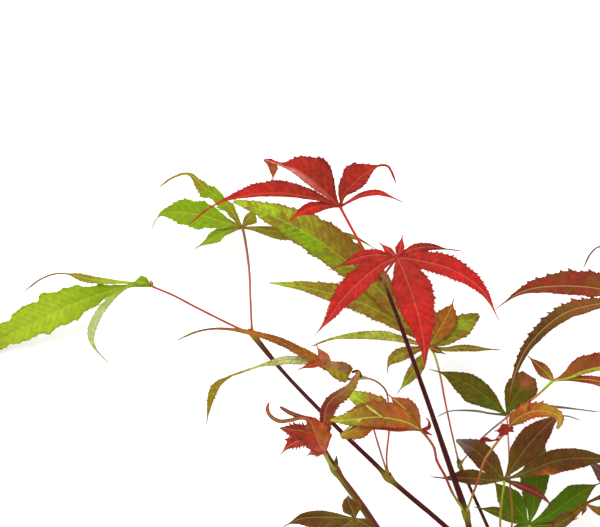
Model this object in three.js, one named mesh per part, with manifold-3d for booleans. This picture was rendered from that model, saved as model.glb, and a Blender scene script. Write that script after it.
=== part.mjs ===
// Cut branch of a Japanese maple: one short main limb, five shoots and twenty-one palmate leaves.
// Millimetres. The branch lies on the ground plane z = 0 with +Z up, and is drawn in plan:
// +X runs to the right, +Y from the cut end towards the shoot tips, z is the height above the ground.
import * as THREE from 'three';
import { mergeVertices } from 'three/addons/utils/BufferGeometryUtils.js';
import Module from 'manifold-3d';

const wasm = await Module();
wasm.setup();

// Driving dimensions
const PLAN_TO_ORIGIN = [-155.57, -30.03, -0.1];
const JOINT_GAP = 0.3;
const BLADE_THICKNESS = 1.4;
const TIP_HALF_WIDTH = 0.3;
const TIP_HALF_THICKNESS = 0.22;
const BLADE_FOLD = 0.16;
const LOBE_ARCH = 0.05;
const FULLEST = 0.4;
const SWELL = 1.8;
const HUB_RADIUS = 1.5;
const PETIOLE_HUB_RADIUS = 0.5;
const PETIOLE_FOOT_RADIUS = 0.75;
const LIMB_SIDES = 8;
const PETIOLE_SIDES = 5;
const BLADE_SIDES = 4;
const LIMB_STEPS_PER_SPAN = 3;
const PETIOLE_STEPS = 6;
const LOBE_STEP = 8;
const FEWEST_LOBE_STEPS = 3;
const MOST_LOBE_STEPS = 7;

// Limbs: each point is [x, y, z, radius], and a larger radius along the way is the swelling of a node.
const MAIN_LIMB = [
  [226, -88, 3.6, 3.6],
  [218.5, -76, 7, 3.3],
  [211, -62, 14, 3.5],
  [207.5, -47, 22, 2.6],
  [204.5, -36, 28, 2.7],
  [199, -24, 32, 1.9],
  [192.4, -13.6, 36, 2.0],
];
const SHOOTS = {
  shoot_tall: {
    colour: '#4a1820',
    route: [
      [192.4, -13.6, 36, 1.5],
      [188.6, -3, 39.5, 1.2],
      [186.8, 4.8, 42, 1.55],
      [184.8, 11, 46, 1.15],
      [181.2, 20.8, 52, 1.1],
      [170.8, 50.8, 66, 0.95],
      [160, 80.8, 75, 0.85],
      [153.2, 98.4, 79, 1.05],
    ],
  },
  shoot_left: {
    colour: '#4a1820',
    route: [
      [192.4, -13.6, 36, 1.5],
      [178, 0, 38, 1.0],
      [162, 13.6, 41, 1.05],
      [155.6, 19.6, 42, 1.7],
      [150.5, 24.8, 42, 0.95],
      [136, 38.8, 40, 0.9],
      [114, 59.6, 34, 0.8],
      [103.5, 73.4, 28.5, 0.85],
      [100.8, 76.8, 27, 1.35],
    ],
  },
  shoot_curled: {
    colour: '#5a3a22',
    route: [
      [211, -62, 14, 2.2],
      [188, -49, 24, 1.55],
      [168, -25, 38, 1.4],
      [160.8, -15.2, 43, 1.8],
      [150.4, 0, 50, 1.35],
      [144, 9.6, 55, 1.3],
      [134.4, 22.8, 60, 1.8],
      [128.8, 32.8, 62, 0.9],
    ],
  },
  shoot_dark: {
    colour: '#4a1820',
    route: [
      [204.5, -36, 28, 1.4],
      [203.4, -24, 29.5, 0.9],
      [202.4, -16.4, 30, 1.25],
      [199, -8, 29, 0.75],
      [195.4, 0, 28, 0.7],
      [188, 16.4, 27, 0.65],
      [184.4, 24, 28, 1.15],
    ],
  },
  shoot_right: {
    colour: '#4a1820',
    route: [
      [211, -62, 14, 2.0],
      [216, -45, 20, 1.3],
      [222, -31, 26, 1.7],
      [240, -17, 32, 1.1],
      [258, 0, 38, 1.0],
      [268, 24, 42, 1.45],
      [269.5, 40, 44.5, 0.85],
      [268, 54, 46, 1.2],
    ],
  },
};

// Leaves: the stalk runs from the shoot that carries it through its points to the hub.
// Each lobe is [bearing, length, width, bow, rise, roll, more]: degrees from +X towards +Y, mm, mm,
// bow to the left of travel, height gained at the tip, turn about its own midrib. More holds where the
// lobe is widest, and the bearing and length of a tail that bends away from its end.
const LEAVES = {
  leaf_red_top: {
    colour: '#a8202c',
    on: 'shoot_tall',
    stalk: [[153.2, 98.4, 79], [145.6, 110.4, 82], [136.4, 127, 86.5]],
    hub: [136, 128, 87],
    lobes: [
      [186.5, 60, 8, -10.2, -4, 25],
      [146, 34, 12, -1.8, 3, -20, { tail: [283, 8.6] }],
      [46, 22.6, 10, 2, 3, 20, { tail: [315, 9.6] }],
      [5, 25, 5, 5, -2, 50],
      [196, 21, 5, 0, -6, 30],
    ],
  },
  leaf_red_low: {
    colour: '#c81e26',
    on: 'shoot_tall',
    stalk: [[153.2, 98.4, 79], [154, 101.5, 85], [156.6, 105.4, 91]],
    hub: [158.4, 107.8, 94],
    lobes: [
      [224, 45, 12.5, -3.2, -3, 10],
      [284.7, 45, 15, 2.5, -3, 0],
      [328.4, 48, 9.5, 6.5, -4, -20],
      [190, 27, 7, -5, -5, 50],
      [5.7, 26, 6, 3.6, -4, 50],
      [140, 9, 3, 0, 1, 0],
      [73, 9, 3.4, 0, 1, 0],
    ],
  },
  leaf_green_top: {
    colour: '#8cb21e',
    on: 'shoot_left',
    stalk: [[100.8, 76.8, 27], [100.2, 90, 27], [99.4, 104, 23], [97, 118.6, 19]],
    hub: [96.4, 120, 18.5],
    lobes: [
      [134, 30.7, 6.5, 0, 3, 35, { tail: [206, 12.7] }],
      [170, 33, 10.5, -2.5, 1, 10, { tail: [243, 8], full: 0.45 }],
      [204.6, 21, 6, 0, -3, 20],
      [50, 6.5, 3.4, 0, 1, 0],
      [350.5, 55.6, 9, 2, 1, 0],
    ],
  },
  leaf_green_left: {
    colour: '#8cb21e',
    on: 'shoot_left',
    stalk: [[100.8, 76.8, 27], [91.8, 80.8, 28], [76.4, 89.2, 27], [68.8, 93.4, 26.5], [60.8, 96.2, 25]],
    hub: [60, 96.4, 25],
    lobes: [
      [182.5, 51, 9, -5.8, -9, 68],
      [202, 75, 13.5, -4.4, -24.6, 0, { full: 0.52 }],
      [243, 35, 9, -18, -6, 60],
      [150, 7, 3, 0, 1, 0],
    ],
  },
  leaf_mottled_long: {
    colour: '#8a8a24',
    on: 'shoot_dark',
    stalk: [[184.4, 24, 28], [181.2, 37.6, 29], [178.4, 50.8, 30], [176.4, 61.2, 31], [174, 69.2, 31]],
    hub: [172, 72, 31],
    lobes: [
      [143, 98, 17, -9, -1, 0, { full: 0.56 }],
      [158, 70, 15, -7, -3, 10],
      [180, 48, 9, -4.5, -6, 68],
      [211, 20, 5.5, -5, -3, 35],
      [233.5, 23, 6.5, 0, -4, 20],
      [63, 22, 8.5, 0, -2, 10],
      [36, 22.6, 8.5, 0, -4, 20],
      [358, 29, 6, 2, -5, 60],
    ],
  },
  leaf_orange_right: {
    colour: '#b4552a',
    on: 'shoot_dark',
    stalk: [
      [184.4, 24, 28],
      [194, 35.6, 37],
      [202.8, 43.2, 44],
      [208, 47.2, 46],
      [214.8, 52, 47],
      [220.8, 57.6, 48],
    ],
    hub: [221.6, 58.4, 48],
    lobes: [
      [137, 14.7, 5.5, 0, -2, 30],
      [6, 35, 10, 3.6, -3, 15],
      [350, 31, 6, 0, -6, 50],
      [300, 8, 3.5, 0, -2, 20],
    ],
  },
  leaf_dark_high: {
    colour: '#4a4a1c',
    on: 'shoot_dark',
    stalk: [[202.4, -16.4, 30], [205.6, 2.8, 38], [204.6, 15.6, 40], [204, 32.4, 39], [203.4, 43, 38]],
    hub: [203.2, 44.4, 38],
    lobes: [
      [149, 36, 10, 1, -2, 0],
      [70, 21, 13, 0, 2, 0],
      [181, 28, 6, -2, -4, 80],
      [2.5, 37, 6, 2, -4, 80],
      [357, 30, 6, 2, -7, 80],
    ],
  },
  leaf_dark_star: {
    colour: '#5a3620',
    on: 'shoot_dark',
    stalk: [[202.4, -16.4, 30], [200.6, 0, 40], [201.2, 10, 44], [202, 16.6, 45.8]],
    hub: [202, 18.4, 46],
    lobes: [
      [177, 30, 6.5, 0, -4, 20],
      [140, 25.6, 9.5, 1, -2, 0],
      [50.6, 32, 12, 0, 1, 0],
      [9, 48, 11, 3, -2, 0],
      [331, 22.4, 5.5, -1, -3, 30],
    ],
  },
  leaf_green_low: {
    colour: '#4a8018',
    on: 'shoot_right',
    stalk: [[222, -31, 26], [217.4, -14, 31], [213, -1.6, 32]],
    hub: [212.4, 0, 32],
    lobes: [
      [160, 24, 5, -1.5, 1, 20],
      [137, 24, 9.5, 0, 1, 0],
      [81, 32, 11, 0, -2, 0],
      [33, 33, 11, 0, -3, 0],
      [6, 28, 8, 0, -4, 0],
      [200, 10, 3.5, 0, -1, 0],
      [325, 14, 5, 0, -3, 0],
    ],
  },
  leaf_olive_low: {
    colour: '#5e5420',
    on: 'shoot_right',
    stalk: [[222, -31, 26], [219.6, -7.2, 37], [224, 3.2, 41], [231.2, 6.4, 43], [234, 8.4, 44]],
    hub: [234.8, 8.8, 44],
    lobes: [
      [30, 22, 6, 0, -2, 15],
      [0, 22, 6, 0, -2, 0],
      [335, 20, 5, 0, -4, 20],
      [60, 10, 4, 0, -3, 0],
      [300, 14, 4.5, 0, -4, 0],
      [150, 7, 3, 0, -1, 0],
    ],
  },
  leaf_brown_inner: {
    colour: '#5c3a30',
    on: 'shoot_right',
    stalk: [[268, 24, 42], [262, 15.5, 40], [256, 10.8, 37]],
    hub: [255, 10, 36.5],
    lobes: [
      [140, 28, 9, 0, -1, 0],
      [104, 20, 7, 0, -2, 0],
      [185, 22, 7, 0, -1, 0],
      [66, 13, 5, 0, -4, 0],
      [226, 16, 5.5, 0, -3, 0],
    ],
  },
  leaf_brown_outer: {
    colour: '#5c3a30',
    on: 'shoot_right',
    stalk: [[268, 24, 42], [277, 19.5, 41], [283, 15, 36]],
    hub: [284, 14, 35],
    lobes: [
      [350, 30, 9, 2, -14, 0],
      [308, 29, 8.5, 0, -12, 0],
      [32, 25, 8, 0, -8, 0],
      [266, 20, 6.5, 0, -6, 0],
      [68, 13, 4.5, 0, -2, 0],
    ],
  },
  leaf_brown_right: {
    colour: '#6a3322',
    on: 'shoot_right',
    stalk: [[268, 54, 46], [262, 74, 54], [251.4, 89.4, 61.6]],
    hub: [250, 90.8, 62],
    lobes: [
      [184, 52, 10.5, -9, -4, 15],
      [213, 52, 8.5, -7, -6, 20, { tail: [261, 10] }],
      [115, 24, 7, 0, 2, 60, { tail: [232, 11] }],
      [66, 32, 10, 0, -2, 0],
      [28, 27, 8, 0, -6, 0],
      [330, 14, 4.5, 0, -3, 0],
    ],
  },
  leaf_brown_far: {
    colour: '#6a3322',
    on: 'shoot_right',
    stalk: [[268, 54, 46], [277, 65, 45], [285, 75, 36]],
    hub: [286, 76.2, 34.5],
    lobes: [
      [8, 35, 9.5, 0, -34.1, 0],
      [50, 33, 9.5, 0, -22, 0],
      [92, 24, 7.5, 0, -10, 0],
      [322, 27, 7.5, 0, -20, 0],
      [136, 13, 4.5, 0, -2, 0],
      [286, 12, 4, 0, -5, 0],
    ],
  },
  leaf_curled_long: {
    colour: '#8a6a30',
    on: 'shoot_left',
    stalk: [
      [155.6, 19.6, 42],
      [154.8, 27, 45],
      [155.8, 39.6, 49],
      [155.4, 53, 54],
      [150.8, 58.6, 56],
      [142, 59, 56],
    ],
    hub: [140, 58.8, 56],
    lobes: [
      [167, 71, 9, -9.5, -4, 60],
      [180, 52, 9, -6.5, -2, 58, { tail: [253, 18.2] }],
      [134, 19, 8.5, 0, 2, 15],
      [169, 21.4, 8, 0, 3, 10],
    ],
  },
  leaf_small_hidden: {
    colour: '#8a6a30',
    on: 'shoot_left',
    stalk: [[155.6, 19.6, 42], [151.2, 33.4, 47], [147.8, 45, 50]],
    hub: [147.2, 46, 50],
    lobes: [
      [180, 9, 5, 0, 0, 0],
      [140, 8, 5, 0, 0, 0],
      [222, 8, 4, 0, 0, 0],
    ],
  },
  leaf_orange_middle: {
    colour: '#a85a24',
    on: 'shoot_tall',
    stalk: [
      [186.8, 4.8, 42],
      [181.6, 12.6, 50],
      [178, 20.4, 59],
      [174.6, 26.8, 67],
      [173.2, 32.4, 73],
      [169, 38.2, 79],
    ],
    hub: [168, 39.2, 80],
    lobes: [
      [174.5, 36, 10, -2.5, -1, 0],
      [154, 30.6, 13, -1.5, 1, 0],
      [184, 31, 7, -3, -2, 0],
      [125, 17, 10, 0, 1, 0],
      [60, 6, 2.6, 0, 2, 0],
      [330, 5, 2.6, 0, 1, 0],
    ],
  },
  leaf_crumpled: {
    colour: '#b8802a',
    on: 'shoot_tall',
    stalk: [
      [186.8, 4.8, 42],
      [189.4, 13, 51],
      [191, 17.6, 56],
      [193.8, 26.8, 64],
      [197, 32, 70],
      [202.8, 40, 77.5],
    ],
    hub: [203.6, 41.2, 78],
    lobes: [
      [11, 21.6, 7, 2.5, 2, 20, { tail: [243, 6] }],
      [53, 12, 4, 0, 3, 0],
      [255, 6, 5, 0, 1, 0],
      [160, 5, 4, 0, 1, 0],
      [213, 13, 2, -1.5, 1, 0],
    ],
  },
  leaf_curled_red: {
    colour: '#9a2c2a',
    on: 'shoot_curled',
    stalk: [[134.4, 22.8, 60], [132.4, 25, 66], [130.4, 28.6, 69.6]],
    hub: [130, 30, 70],
    lobes: [
      [116, 16, 14, 0, 1, 0],
      [68, 35, 7, 3.8, 2, 25],
      [178, 18.3, 8.5, 0, -3, 0],
      [148, 20, 9, 0, 2, 0],
      [147, 27, 4, -2, 5, 40, { tail: [83, 3.5] }],
      [136, 25, 3, 2, 7, 30],
    ],
  },
  leaf_brown_left: {
    colour: '#5c4022',
    on: 'shoot_curled',
    stalk: [[160.8, -15.2, 43], [153.5, -8, 55], [142.8, 2.4, 63.6]],
    hub: [142, 3.6, 64],
    lobes: [
      [189, 30, 6.5, -5, -4, 30],
      [110, 9.4, 6.6, 0, 1, 0],
      [214, 26, 9, 0, -4, 0],
      [246, 25, 9, 0, -5, 0],
      [284, 20, 7.5, 0, -4, 0],
      [330, 12, 4.5, 0, -1, 0],
    ],
  },
  leaf_brown_below: {
    colour: '#5c4022',
    on: 'shoot_curled',
    stalk: [[160.8, -15.2, 43], [158.6, -26, 38], [151.6, -36, 33.4]],
    hub: [151, -37, 33],
    lobes: [
      [160, 25, 8, 0, -4, 0],
      [198, 31, 9.5, 0, -8, 0],
      [238, 33, 10, 0, -10, 0],
      [278, 27, 8.5, 0, -8, 0],
      [318, 18, 6.5, 0, -5, 0],
      [112, 10, 4, 0, 0, 0],
    ],
  },
};

const GROUND_UP = new THREE.Vector3(0, 0, 1);
const radians = THREE.MathUtils.degToRad;

// A shape swept along a curve: section(t, x, z) turns a point of the unit circle into its place
// across the curve and above it.
function sweep(curve, sides, steps, section) {
  const shape = new THREE.CylinderGeometry(1, 1, 1, sides, steps);
  const places = shape.attributes.position;
  const spot = new THREE.Vector3();
  for (let i = 0; i < places.count; i += 1) {
    spot.fromBufferAttribute(places, i);
    const t = THREE.MathUtils.clamp(spot.y + 0.5, 0, 1);
    const travel = curve.getTangent(t);
    const side = new THREE.Vector3().crossVectors(travel, GROUND_UP).normalize();
    const above = new THREE.Vector3().crossVectors(side, travel).normalize();
    const [across, height] = section(t, spot.x, spot.z);
    spot.copy(curve.getPoint(t)).addScaledVector(side, across).addScaledVector(above, height);
    places.setXYZ(i, spot.x, spot.y, spot.z);
  }
  return shape;
}

// A closed surface as a solid that can be joined and cut, and back.
function asSolid(shape) {
  const bare = shape.clone();
  bare.deleteAttribute('normal');
  bare.deleteAttribute('uv');
  const merged = mergeVertices(bare, 1e-4);
  return new wasm.Manifold(new wasm.Mesh({
    numProp: 3,
    vertProperties: new Float32Array(merged.attributes.position.array),
    triVerts: new Uint32Array(merged.index.array),
  }));
}

function asGeometry(solid) {
  const mesh = solid.getMesh();
  const geometry = new THREE.BufferGeometry();
  geometry.setAttribute('position', new THREE.BufferAttribute(mesh.vertProperties, 3));
  geometry.setIndex(new THREE.BufferAttribute(mesh.triVerts, 1));
  geometry.computeVertexNormals();
  return geometry;
}

function curveThrough(points) {
  return new THREE.CatmullRomCurve3(points.map(([x, y, z]) => new THREE.Vector3(x, y, z)));
}

// A limb tapers from point to point and swells at its nodes.
function limb(route) {
  const spans = route.length - 1;
  const radius = (t) => {
    const place = Math.min(t * spans, spans - 1e-6);
    const span = Math.floor(place);
    return THREE.MathUtils.lerp(route[span][3], route[span + 1][3], place - span);
  };
  const section = (t, x, z) => [radius(t) * x, radius(t) * z];
  return asSolid(sweep(curveThrough(route), LIMB_SIDES, spans * LIMB_STEPS_PER_SPAN, section));
}

// Points carried on past both ends of their run by the gap.
function lengthened(points) {
  const longer = points.map((point) => [...point]);
  for (const [end, inner] of [[0, 1], [points.length - 1, points.length - 2]]) {
    const outward = new THREE.Vector3(...points[end]).sub(new THREE.Vector3(...points[inner]));
    outward.setLength(JOINT_GAP);
    longer[end][0] += outward.x;
    longer[end][1] += outward.y;
    longer[end][2] += outward.z;
  }
  return longer;
}

// The space that a limb's neighbours stay out of: the limb, wider and longer by the gap.
function limbSpace(route) {
  return limb(lengthened(route.map(([x, y, z, radius]) => [x, y, z, radius + JOINT_GAP])));
}

function petiole(points, gap = 0) {
  const thinning = (t) => THREE.MathUtils.lerp(PETIOLE_FOOT_RADIUS, PETIOLE_HUB_RADIUS, Math.min(2 * t, 1));
  const radius = (t) => thinning(t) + gap;
  const section = (t, x, z) => [radius(t) * x, radius(t) * z];
  return asSolid(sweep(curveThrough(points), PETIOLE_SIDES, PETIOLE_STEPS, section));
}

// The midrib of a lobe: out from the hub with its bow and arch, and on into the tail where it has one.
function midrib(hub, [bearing, length, , bow, rise, , more = {}]) {
  const [x, y, z] = hub;
  const along = [Math.cos(radians(bearing)), Math.sin(radians(bearing))];
  const spot = (t, aside, lift) => [
    x + along[0] * length * t - along[1] * aside,
    y + along[1] * length * t + along[0] * aside,
    z + rise * t + lift,
  ];
  const arch = LOBE_ARCH * length;
  const points = [spot(0, 0, 0), spot(0.25, bow * 0.75, arch * 0.75), spot(0.5, bow, arch)];
  points.push(spot(0.75, bow * 0.75, arch * 0.75), spot(1, 0, 0));
  if (more.tail) {
    const [tailBearing, tailLength] = more.tail;
    const [endX, endY, endZ] = points[4];
    points.push([
      endX + Math.cos(radians(tailBearing)) * tailLength,
      endY + Math.sin(radians(tailBearing)) * tailLength,
      endZ - tailLength * 0.2,
    ]);
  }
  return curveThrough(points);
}

// A lobe's width along it: nothing at its tip, one where it is fullest, and still broad at its base.
function swell(t, full) {
  const grown = (s) => Math.pow(s + 0.05, SWELL * full) * Math.pow(1 - s, SWELL * (1 - full));
  return grown(t) / grown(full);
}

// A lobe runs out in a long fine tip and is folded up along its midrib.
function lobe(hub, row) {
  const [, length, width, , , roll, more = {}] = row;
  const turn = radians(roll);
  const section = (t, x, z) => {
    const halfWidth = Math.max(TIP_HALF_WIDTH, 0.5 * width * swell(t, more.full ?? FULLEST));
    const halfThickness = Math.max(TIP_HALF_THICKNESS, 0.5 * BLADE_THICKNESS * (1 - 0.6 * t));
    const across = halfWidth * x;
    const height = halfThickness * z + BLADE_FOLD * halfWidth * Math.abs(x);
    return [
      across * Math.cos(turn) + height * Math.sin(turn),
      height * Math.cos(turn) - across * Math.sin(turn),
    ];
  };
  const whole = more.tail ? length + 2 * more.tail[1] : length;
  const steps = THREE.MathUtils.clamp(Math.round(whole / LOBE_STEP), FEWEST_LOBE_STEPS, MOST_LOBE_STEPS);
  return asSolid(sweep(midrib(hub, row), BLADE_SIDES, steps, section));
}

// A leaf: lobes joined at the hub to the stalk. The stalk's foot is cut clear of the shoot that carries
// it, and of the leaves before it at the same node.
function leaf(row, before) {
  const { on, stalk, hub, lobes } = row;
  const knot = new THREE.IcosahedronGeometry(HUB_RADIUS, 0);
  knot.scale(1, 1, 0.6);
  knot.translate(...hub);
  const partners = before.filter((other) => String(other.stalk[0]) === String(stalk[0]));
  let foot = petiole([...stalk, hub]).subtract(limbSpace(SHOOTS[on].route));
  for (const partner of partners) {
    foot = foot.subtract(petiole(lengthened([...partner.stalk, partner.hub]), JOINT_GAP));
  }
  return lobes.reduce((whole, lobeRow) => whole.add(lobe(hub, lobeRow)), foot.add(asSolid(knot)));
}

// A shoot, its foot cut clear of the main limb and of the shoots before it at the same fork.
function shoot(route, before) {
  let solid = limb(route).subtract(limbSpace(MAIN_LIMB));
  for (const other of before.filter((row) => row.route[0][0] === route[0][0])) {
    solid = solid.subtract(limbSpace(other.route));
  }
  return solid;
}

const branch = new THREE.Group();

function addPiece(name, solid, colour, roughness) {
  const material = new THREE.MeshStandardMaterial({ color: colour, roughness, metalness: 0 });
  const mesh = new THREE.Mesh(asGeometry(solid), material);
  mesh.name = name;
  branch.add(mesh);
}

addPiece('main_limb', limb(MAIN_LIMB), '#6a4a30', 0.7);
Object.entries(SHOOTS).forEach(([name, row], i) => {
  addPiece(name, shoot(row.route, Object.values(SHOOTS).slice(0, i)), row.colour, 0.5);
});
Object.entries(LEAVES).forEach(([name, row], i) => {
  addPiece(name, leaf(row, Object.values(LEAVES).slice(0, i)), row.colour, 0.55);
});
branch.position.set(...PLAN_TO_ORIGIN);

export default branch;
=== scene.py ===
"""Looks of a cut branch of a Japanese maple, built around its packed solids.

The tables are in millimetres, in the plan that the solids are drawn in: +X runs to the right, +Y from
the cut end towards the shoot tips, and z is the height above the ground that the branch lies on.
"""

import math

import bpy
import numpy as np
from bpy.props import FloatProperty, FloatVectorProperty, IntProperty, PointerProperty
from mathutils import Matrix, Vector


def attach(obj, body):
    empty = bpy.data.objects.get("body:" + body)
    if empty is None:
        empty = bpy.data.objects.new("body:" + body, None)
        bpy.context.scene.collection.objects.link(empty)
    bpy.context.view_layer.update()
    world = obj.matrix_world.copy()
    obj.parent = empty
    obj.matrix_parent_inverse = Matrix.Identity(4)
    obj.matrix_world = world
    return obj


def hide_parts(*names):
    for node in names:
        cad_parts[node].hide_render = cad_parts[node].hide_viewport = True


bl_info = {
    "name": "Japanese maple branch",
    "version": (1, 0, 0),
    "blender": (4, 5, 0),
    "location": "3D View > Sidebar > Maple",
    "description": "Builds the bark, stalks and leaves of a cut branch of a Japanese maple",
    "category": "Add Mesh",
}

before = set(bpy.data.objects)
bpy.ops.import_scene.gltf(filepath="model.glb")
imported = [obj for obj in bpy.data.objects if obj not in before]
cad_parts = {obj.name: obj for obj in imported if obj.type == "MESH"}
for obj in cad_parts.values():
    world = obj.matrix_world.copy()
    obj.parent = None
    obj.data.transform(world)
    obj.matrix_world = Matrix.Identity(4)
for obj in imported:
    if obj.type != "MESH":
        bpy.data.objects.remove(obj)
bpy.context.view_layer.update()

# PLAN_TO_ORIGIN takes a place of the plan to the branch's own frame. The plan's origin is the photo's
# lower left corner, and PHOTO_SIZE is the photo's size in pixels of PIXEL mm.
PLAN_TO_ORIGIN = np.array([-155.57, -30.03, -0.1])
PHOTO_SIZE = (600, 527)
PIXEL = 0.4

# Limbs: each point is [x, y, z, radius], and a larger radius along the way is the swelling of a node.
# Tones run from the foot of a limb to its end, and a limb may name the tone of painted shade on the side to
# its right.
MAIN_LIMB = {
    "tones": "bark_brown bark_brown shoot_maroon",
    "route": [
        [226, -88, 3.6, 3.6],
        [218.5, -76, 7, 3.3],
        [211, -62, 14, 3.5],
        [207.5, -47, 22, 2.6],
        [204.5, -36, 28, 2.7],
        [199, -24, 32, 1.9],
        [192.4, -13.6, 36, 2.0],
    ],
}
SHOOTS = {
    "shoot_tall": {
        "slot": "bark_maroon",
        "tones": "shoot_maroon",
        "route": [
            [192.4, -13.6, 36, 1.5],
            [188.6, -3, 39.5, 1.2],
            [186.8, 4.8, 42, 1.8],
            [184.8, 11, 46, 1.35],
            [181.2, 20.8, 52, 1.2],
            [170.8, 50.8, 66, 0.95],
            [160, 80.8, 75, 0.85],
            [153.2, 98.4, 79, 1.05],
        ],
    },
    "shoot_left": {
        "slot": "bark_maroon",
        "tones": "shoot_maroon",
        "route": [
            [192.4, -13.6, 36, 1.5],
            [178, 0, 38, 1.0],
            [162, 13.6, 41, 1.05],
            [155.4, 19.4, 42, 1.9],
            [150.3, 24.6, 42, 0.95],
            [135.7, 38.6, 40, 0.9],
            [114, 60.8, 34, 0.8],
            [103.5, 73.4, 28.5, 1.2],
            [100.8, 76.8, 27, 1.5],
        ],
    },
    "shoot_curled": {
        "slot": "bark_brown",
        "tones": "bark_brown bark_brown olive",
        # The side to its right is painted maroon, as painted shade.
        "shaded_side": "maroon",
        "route": [
            [211, -62, 14, 2.2],
            [188, -49, 24, 1.55],
            [168, -25, 38, 1.4],
            [160.8, -15.2, 43, 1.8],
            [150.2, 0, 50, 1.55],
            [143.8, 9.6, 55, 1.5],
            [134.2, 22.8, 60, 2.0],
            [128.6, 32.6, 62, 1.2],
        ],
    },
    "shoot_dark": {
        "slot": "bark_maroon",
        "tones": "shoot_maroon",
        "route": [
            [204.5, -36, 28, 1.4],
            [203.4, -24, 29.5, 0.9],
            [202.4, -16.4, 30, 1.25],
            [199, -8, 29, 0.75],
            [195.4, 0, 28, 0.7],
            [188, 16.4, 27, 0.65],
            [184.4, 24, 28, 1.15],
        ],
    },
    "shoot_right": {
        "slot": "bark_maroon",
        "tones": "bark_brown shoot_maroon shoot_maroon",
        "route": [
            [211, -62, 14, 2.0],
            [216, -45, 20, 1.3],
            [222, -31, 26, 1.7],
            [240, -17, 32, 1.1],
            [258, 0, 38, 1.0],
            [268, 24, 42, 1.45],
            [269.5, 40, 44.5, 0.85],
            [268, 54, 46, 1.2],
        ],
    },
}

# Buds sit beside the leaf stalks: [shoot, point of its route, bearing, tilt, length].
BUDS = [
    ["shoot_tall", 7, 150, 30, 2.4],
    ["shoot_tall", 2, 60, 35, 2.0],
    ["shoot_left", 8, 130, 20, 2.4],
    ["shoot_left", 3, 60, 40, 2.2],
    ["shoot_curled", 6, 86, 25, 5.6],
    ["shoot_curled", 3, 100, 50, 2.2],
    ["shoot_dark", 6, 100, 30, 2.4],
    ["shoot_dark", 2, 20, 40, 1.8],
    ["shoot_right", 7, 95, 30, 2.6],
    ["shoot_right", 5, 150, 45, 2.0],
    ["shoot_right", 2, 200, 45, 2.0],
]

TONES = {
    "bright_red": (0.655, 0.105, 0.085),
    "crimson": (0.545, 0.13, 0.085),
    "dark_red": (0.455, 0.115, 0.065),
    "magenta_red": (0.65, 0.11, 0.20),
    "pink": (0.70, 0.42, 0.37),
    "rose": (0.63, 0.28, 0.22),
    "maroon": (0.375, 0.10, 0.09),
    "shoot_maroon": (0.24, 0.025, 0.01),
    "bark_brown": (0.33, 0.24, 0.08),
    "yellow_green": (0.53, 0.61, 0.11),
    "lime": (0.61, 0.65, 0.25),
    "pale_green": (0.62, 0.635, 0.42),
    "leaf_green": (0.425, 0.53, 0.03),
    "deep_green": (0.26, 0.36, 0.02),
    "olive": (0.48, 0.425, 0.09),
    "dark_olive": (0.31, 0.28, 0.03),
    "yellow_orange": (0.575, 0.43, 0.10),
    "orange": (0.56, 0.31, 0.09),
    "tan": (0.56, 0.44, 0.28),
    "brown": (0.44, 0.24, 0.09),
    "dark_brown": (0.29, 0.165, 0.03),
    "grey_violet": (0.43, 0.36, 0.38),
}

# Leaf skins, by slot: name, tone of the blotches, how far they show, gloss, and strength of the mottling
# and of the painted shade beside the side veins.
LEAF_SKINS = {
    "leaf_red": ("red leaf skin", "dark_red", 0.35, 0.42, 1.0),
    "leaf_green": ("green leaf skin", "olive", 0.12, 0.45, 0.5),
    "leaf_mottled": ("mottled leaf skin", "brown", 0.7, 0.45, 1.0),
    "leaf_orange": ("orange leaf skin", "crimson", 0.5, 0.4, 1.0),
    "leaf_brown": ("brown leaf skin", "dark_olive", 0.4, 0.45, 1.0),
}

# Bark, by slot: name, and age from 0 to 1.
BARKS = {"bark_brown": ("brown bark", 1.0), "bark_maroon": ("maroon bark", 0.3)}

# A leaf has these unless its row says otherwise. Its stalk runs from its shoot to the hub, in stalk_tones.
# Its tones are the colours of its lobes from base to tip, and edge, vein and under are those of the
# margins, ribs and back.
LEAF = {
    "teeth": 1.0,  # size of its teeth, for 1 that of the panel
    "tooth_gap": 1.0,  # distance between them, in the same way
    "vein_show": 1.0,  # how strongly its ribs show
    "stalk_sizes": (1, 1),  # thickness of the stalk at its foot and at the hub
}
LEAVES = {}

# A lobe has these unless its row says otherwise. Shares run from 0 at its base to 1 at its tip.
LOBE = {
    "start": (0, 0, 0),  # where its rib begins, from the hub
    "full": 0.4,  # share at which it is widest
    "tail": 0.9,  # share at which it has closed to its thin point
    "neck": 1.3,  # more makes its base slimmer
    "tip": 0.26,  # half the width of the thin point
    "fold": None,  # slope of its halves, or the panel's
    "curl": -0.1,  # rise of its margins for each mm of half width
    "jags": (1, 1),  # size of the teeth on its right and left half
    "lumps": 0.05,  # unevenness of its width
    "patch": None,  # a stain: its share, its place from -1 at left to 1 at right, its reach, its tone
    "edge": None,  # colour of its margins, or the leaf's
    "vein": None,  # colour of its rib, or the leaf's
    "tones": None,  # colours from base to tip, or the leaf's
    "left_tones": None,  # those of its left half, or its tones
}


def add_leaf(name, slot, hub, stalk, lobes, **more):
    """Put a leaf into the table of leaves."""
    LEAVES[name] = {**LEAF, "slot": slot, "hub": hub, "stalk": stalk, "lobes": lobes, **more}


def lobe(rib, left, right, rise, **more):
    """A lobe of a leaf. Its rib runs from its start through its points, all measured from the hub.

    Left and right are its widest halves, as seen along the rib, and rise is the height gained at its tip.
    """
    return {**LOBE, "rib": rib, "left": left, "right": right, "rise": rise, **more}


def plain(bearing, length, width, bow, rise):
    """A lobe with even halves that runs out at a bearing, in degrees from +X, and bows out to its left."""
    turn = math.radians(bearing)
    rib = []
    for share in (0.25, 0.5, 0.75, 1):
        ahead, aside = share * length, 4 * bow * share * (1 - share)
        x = ahead * math.cos(turn) - aside * math.sin(turn)
        y = ahead * math.sin(turn) + aside * math.cos(turn)
        rib.append([x, y])
    return lobe(rib, width / 2, width / 2, rise)


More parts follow.
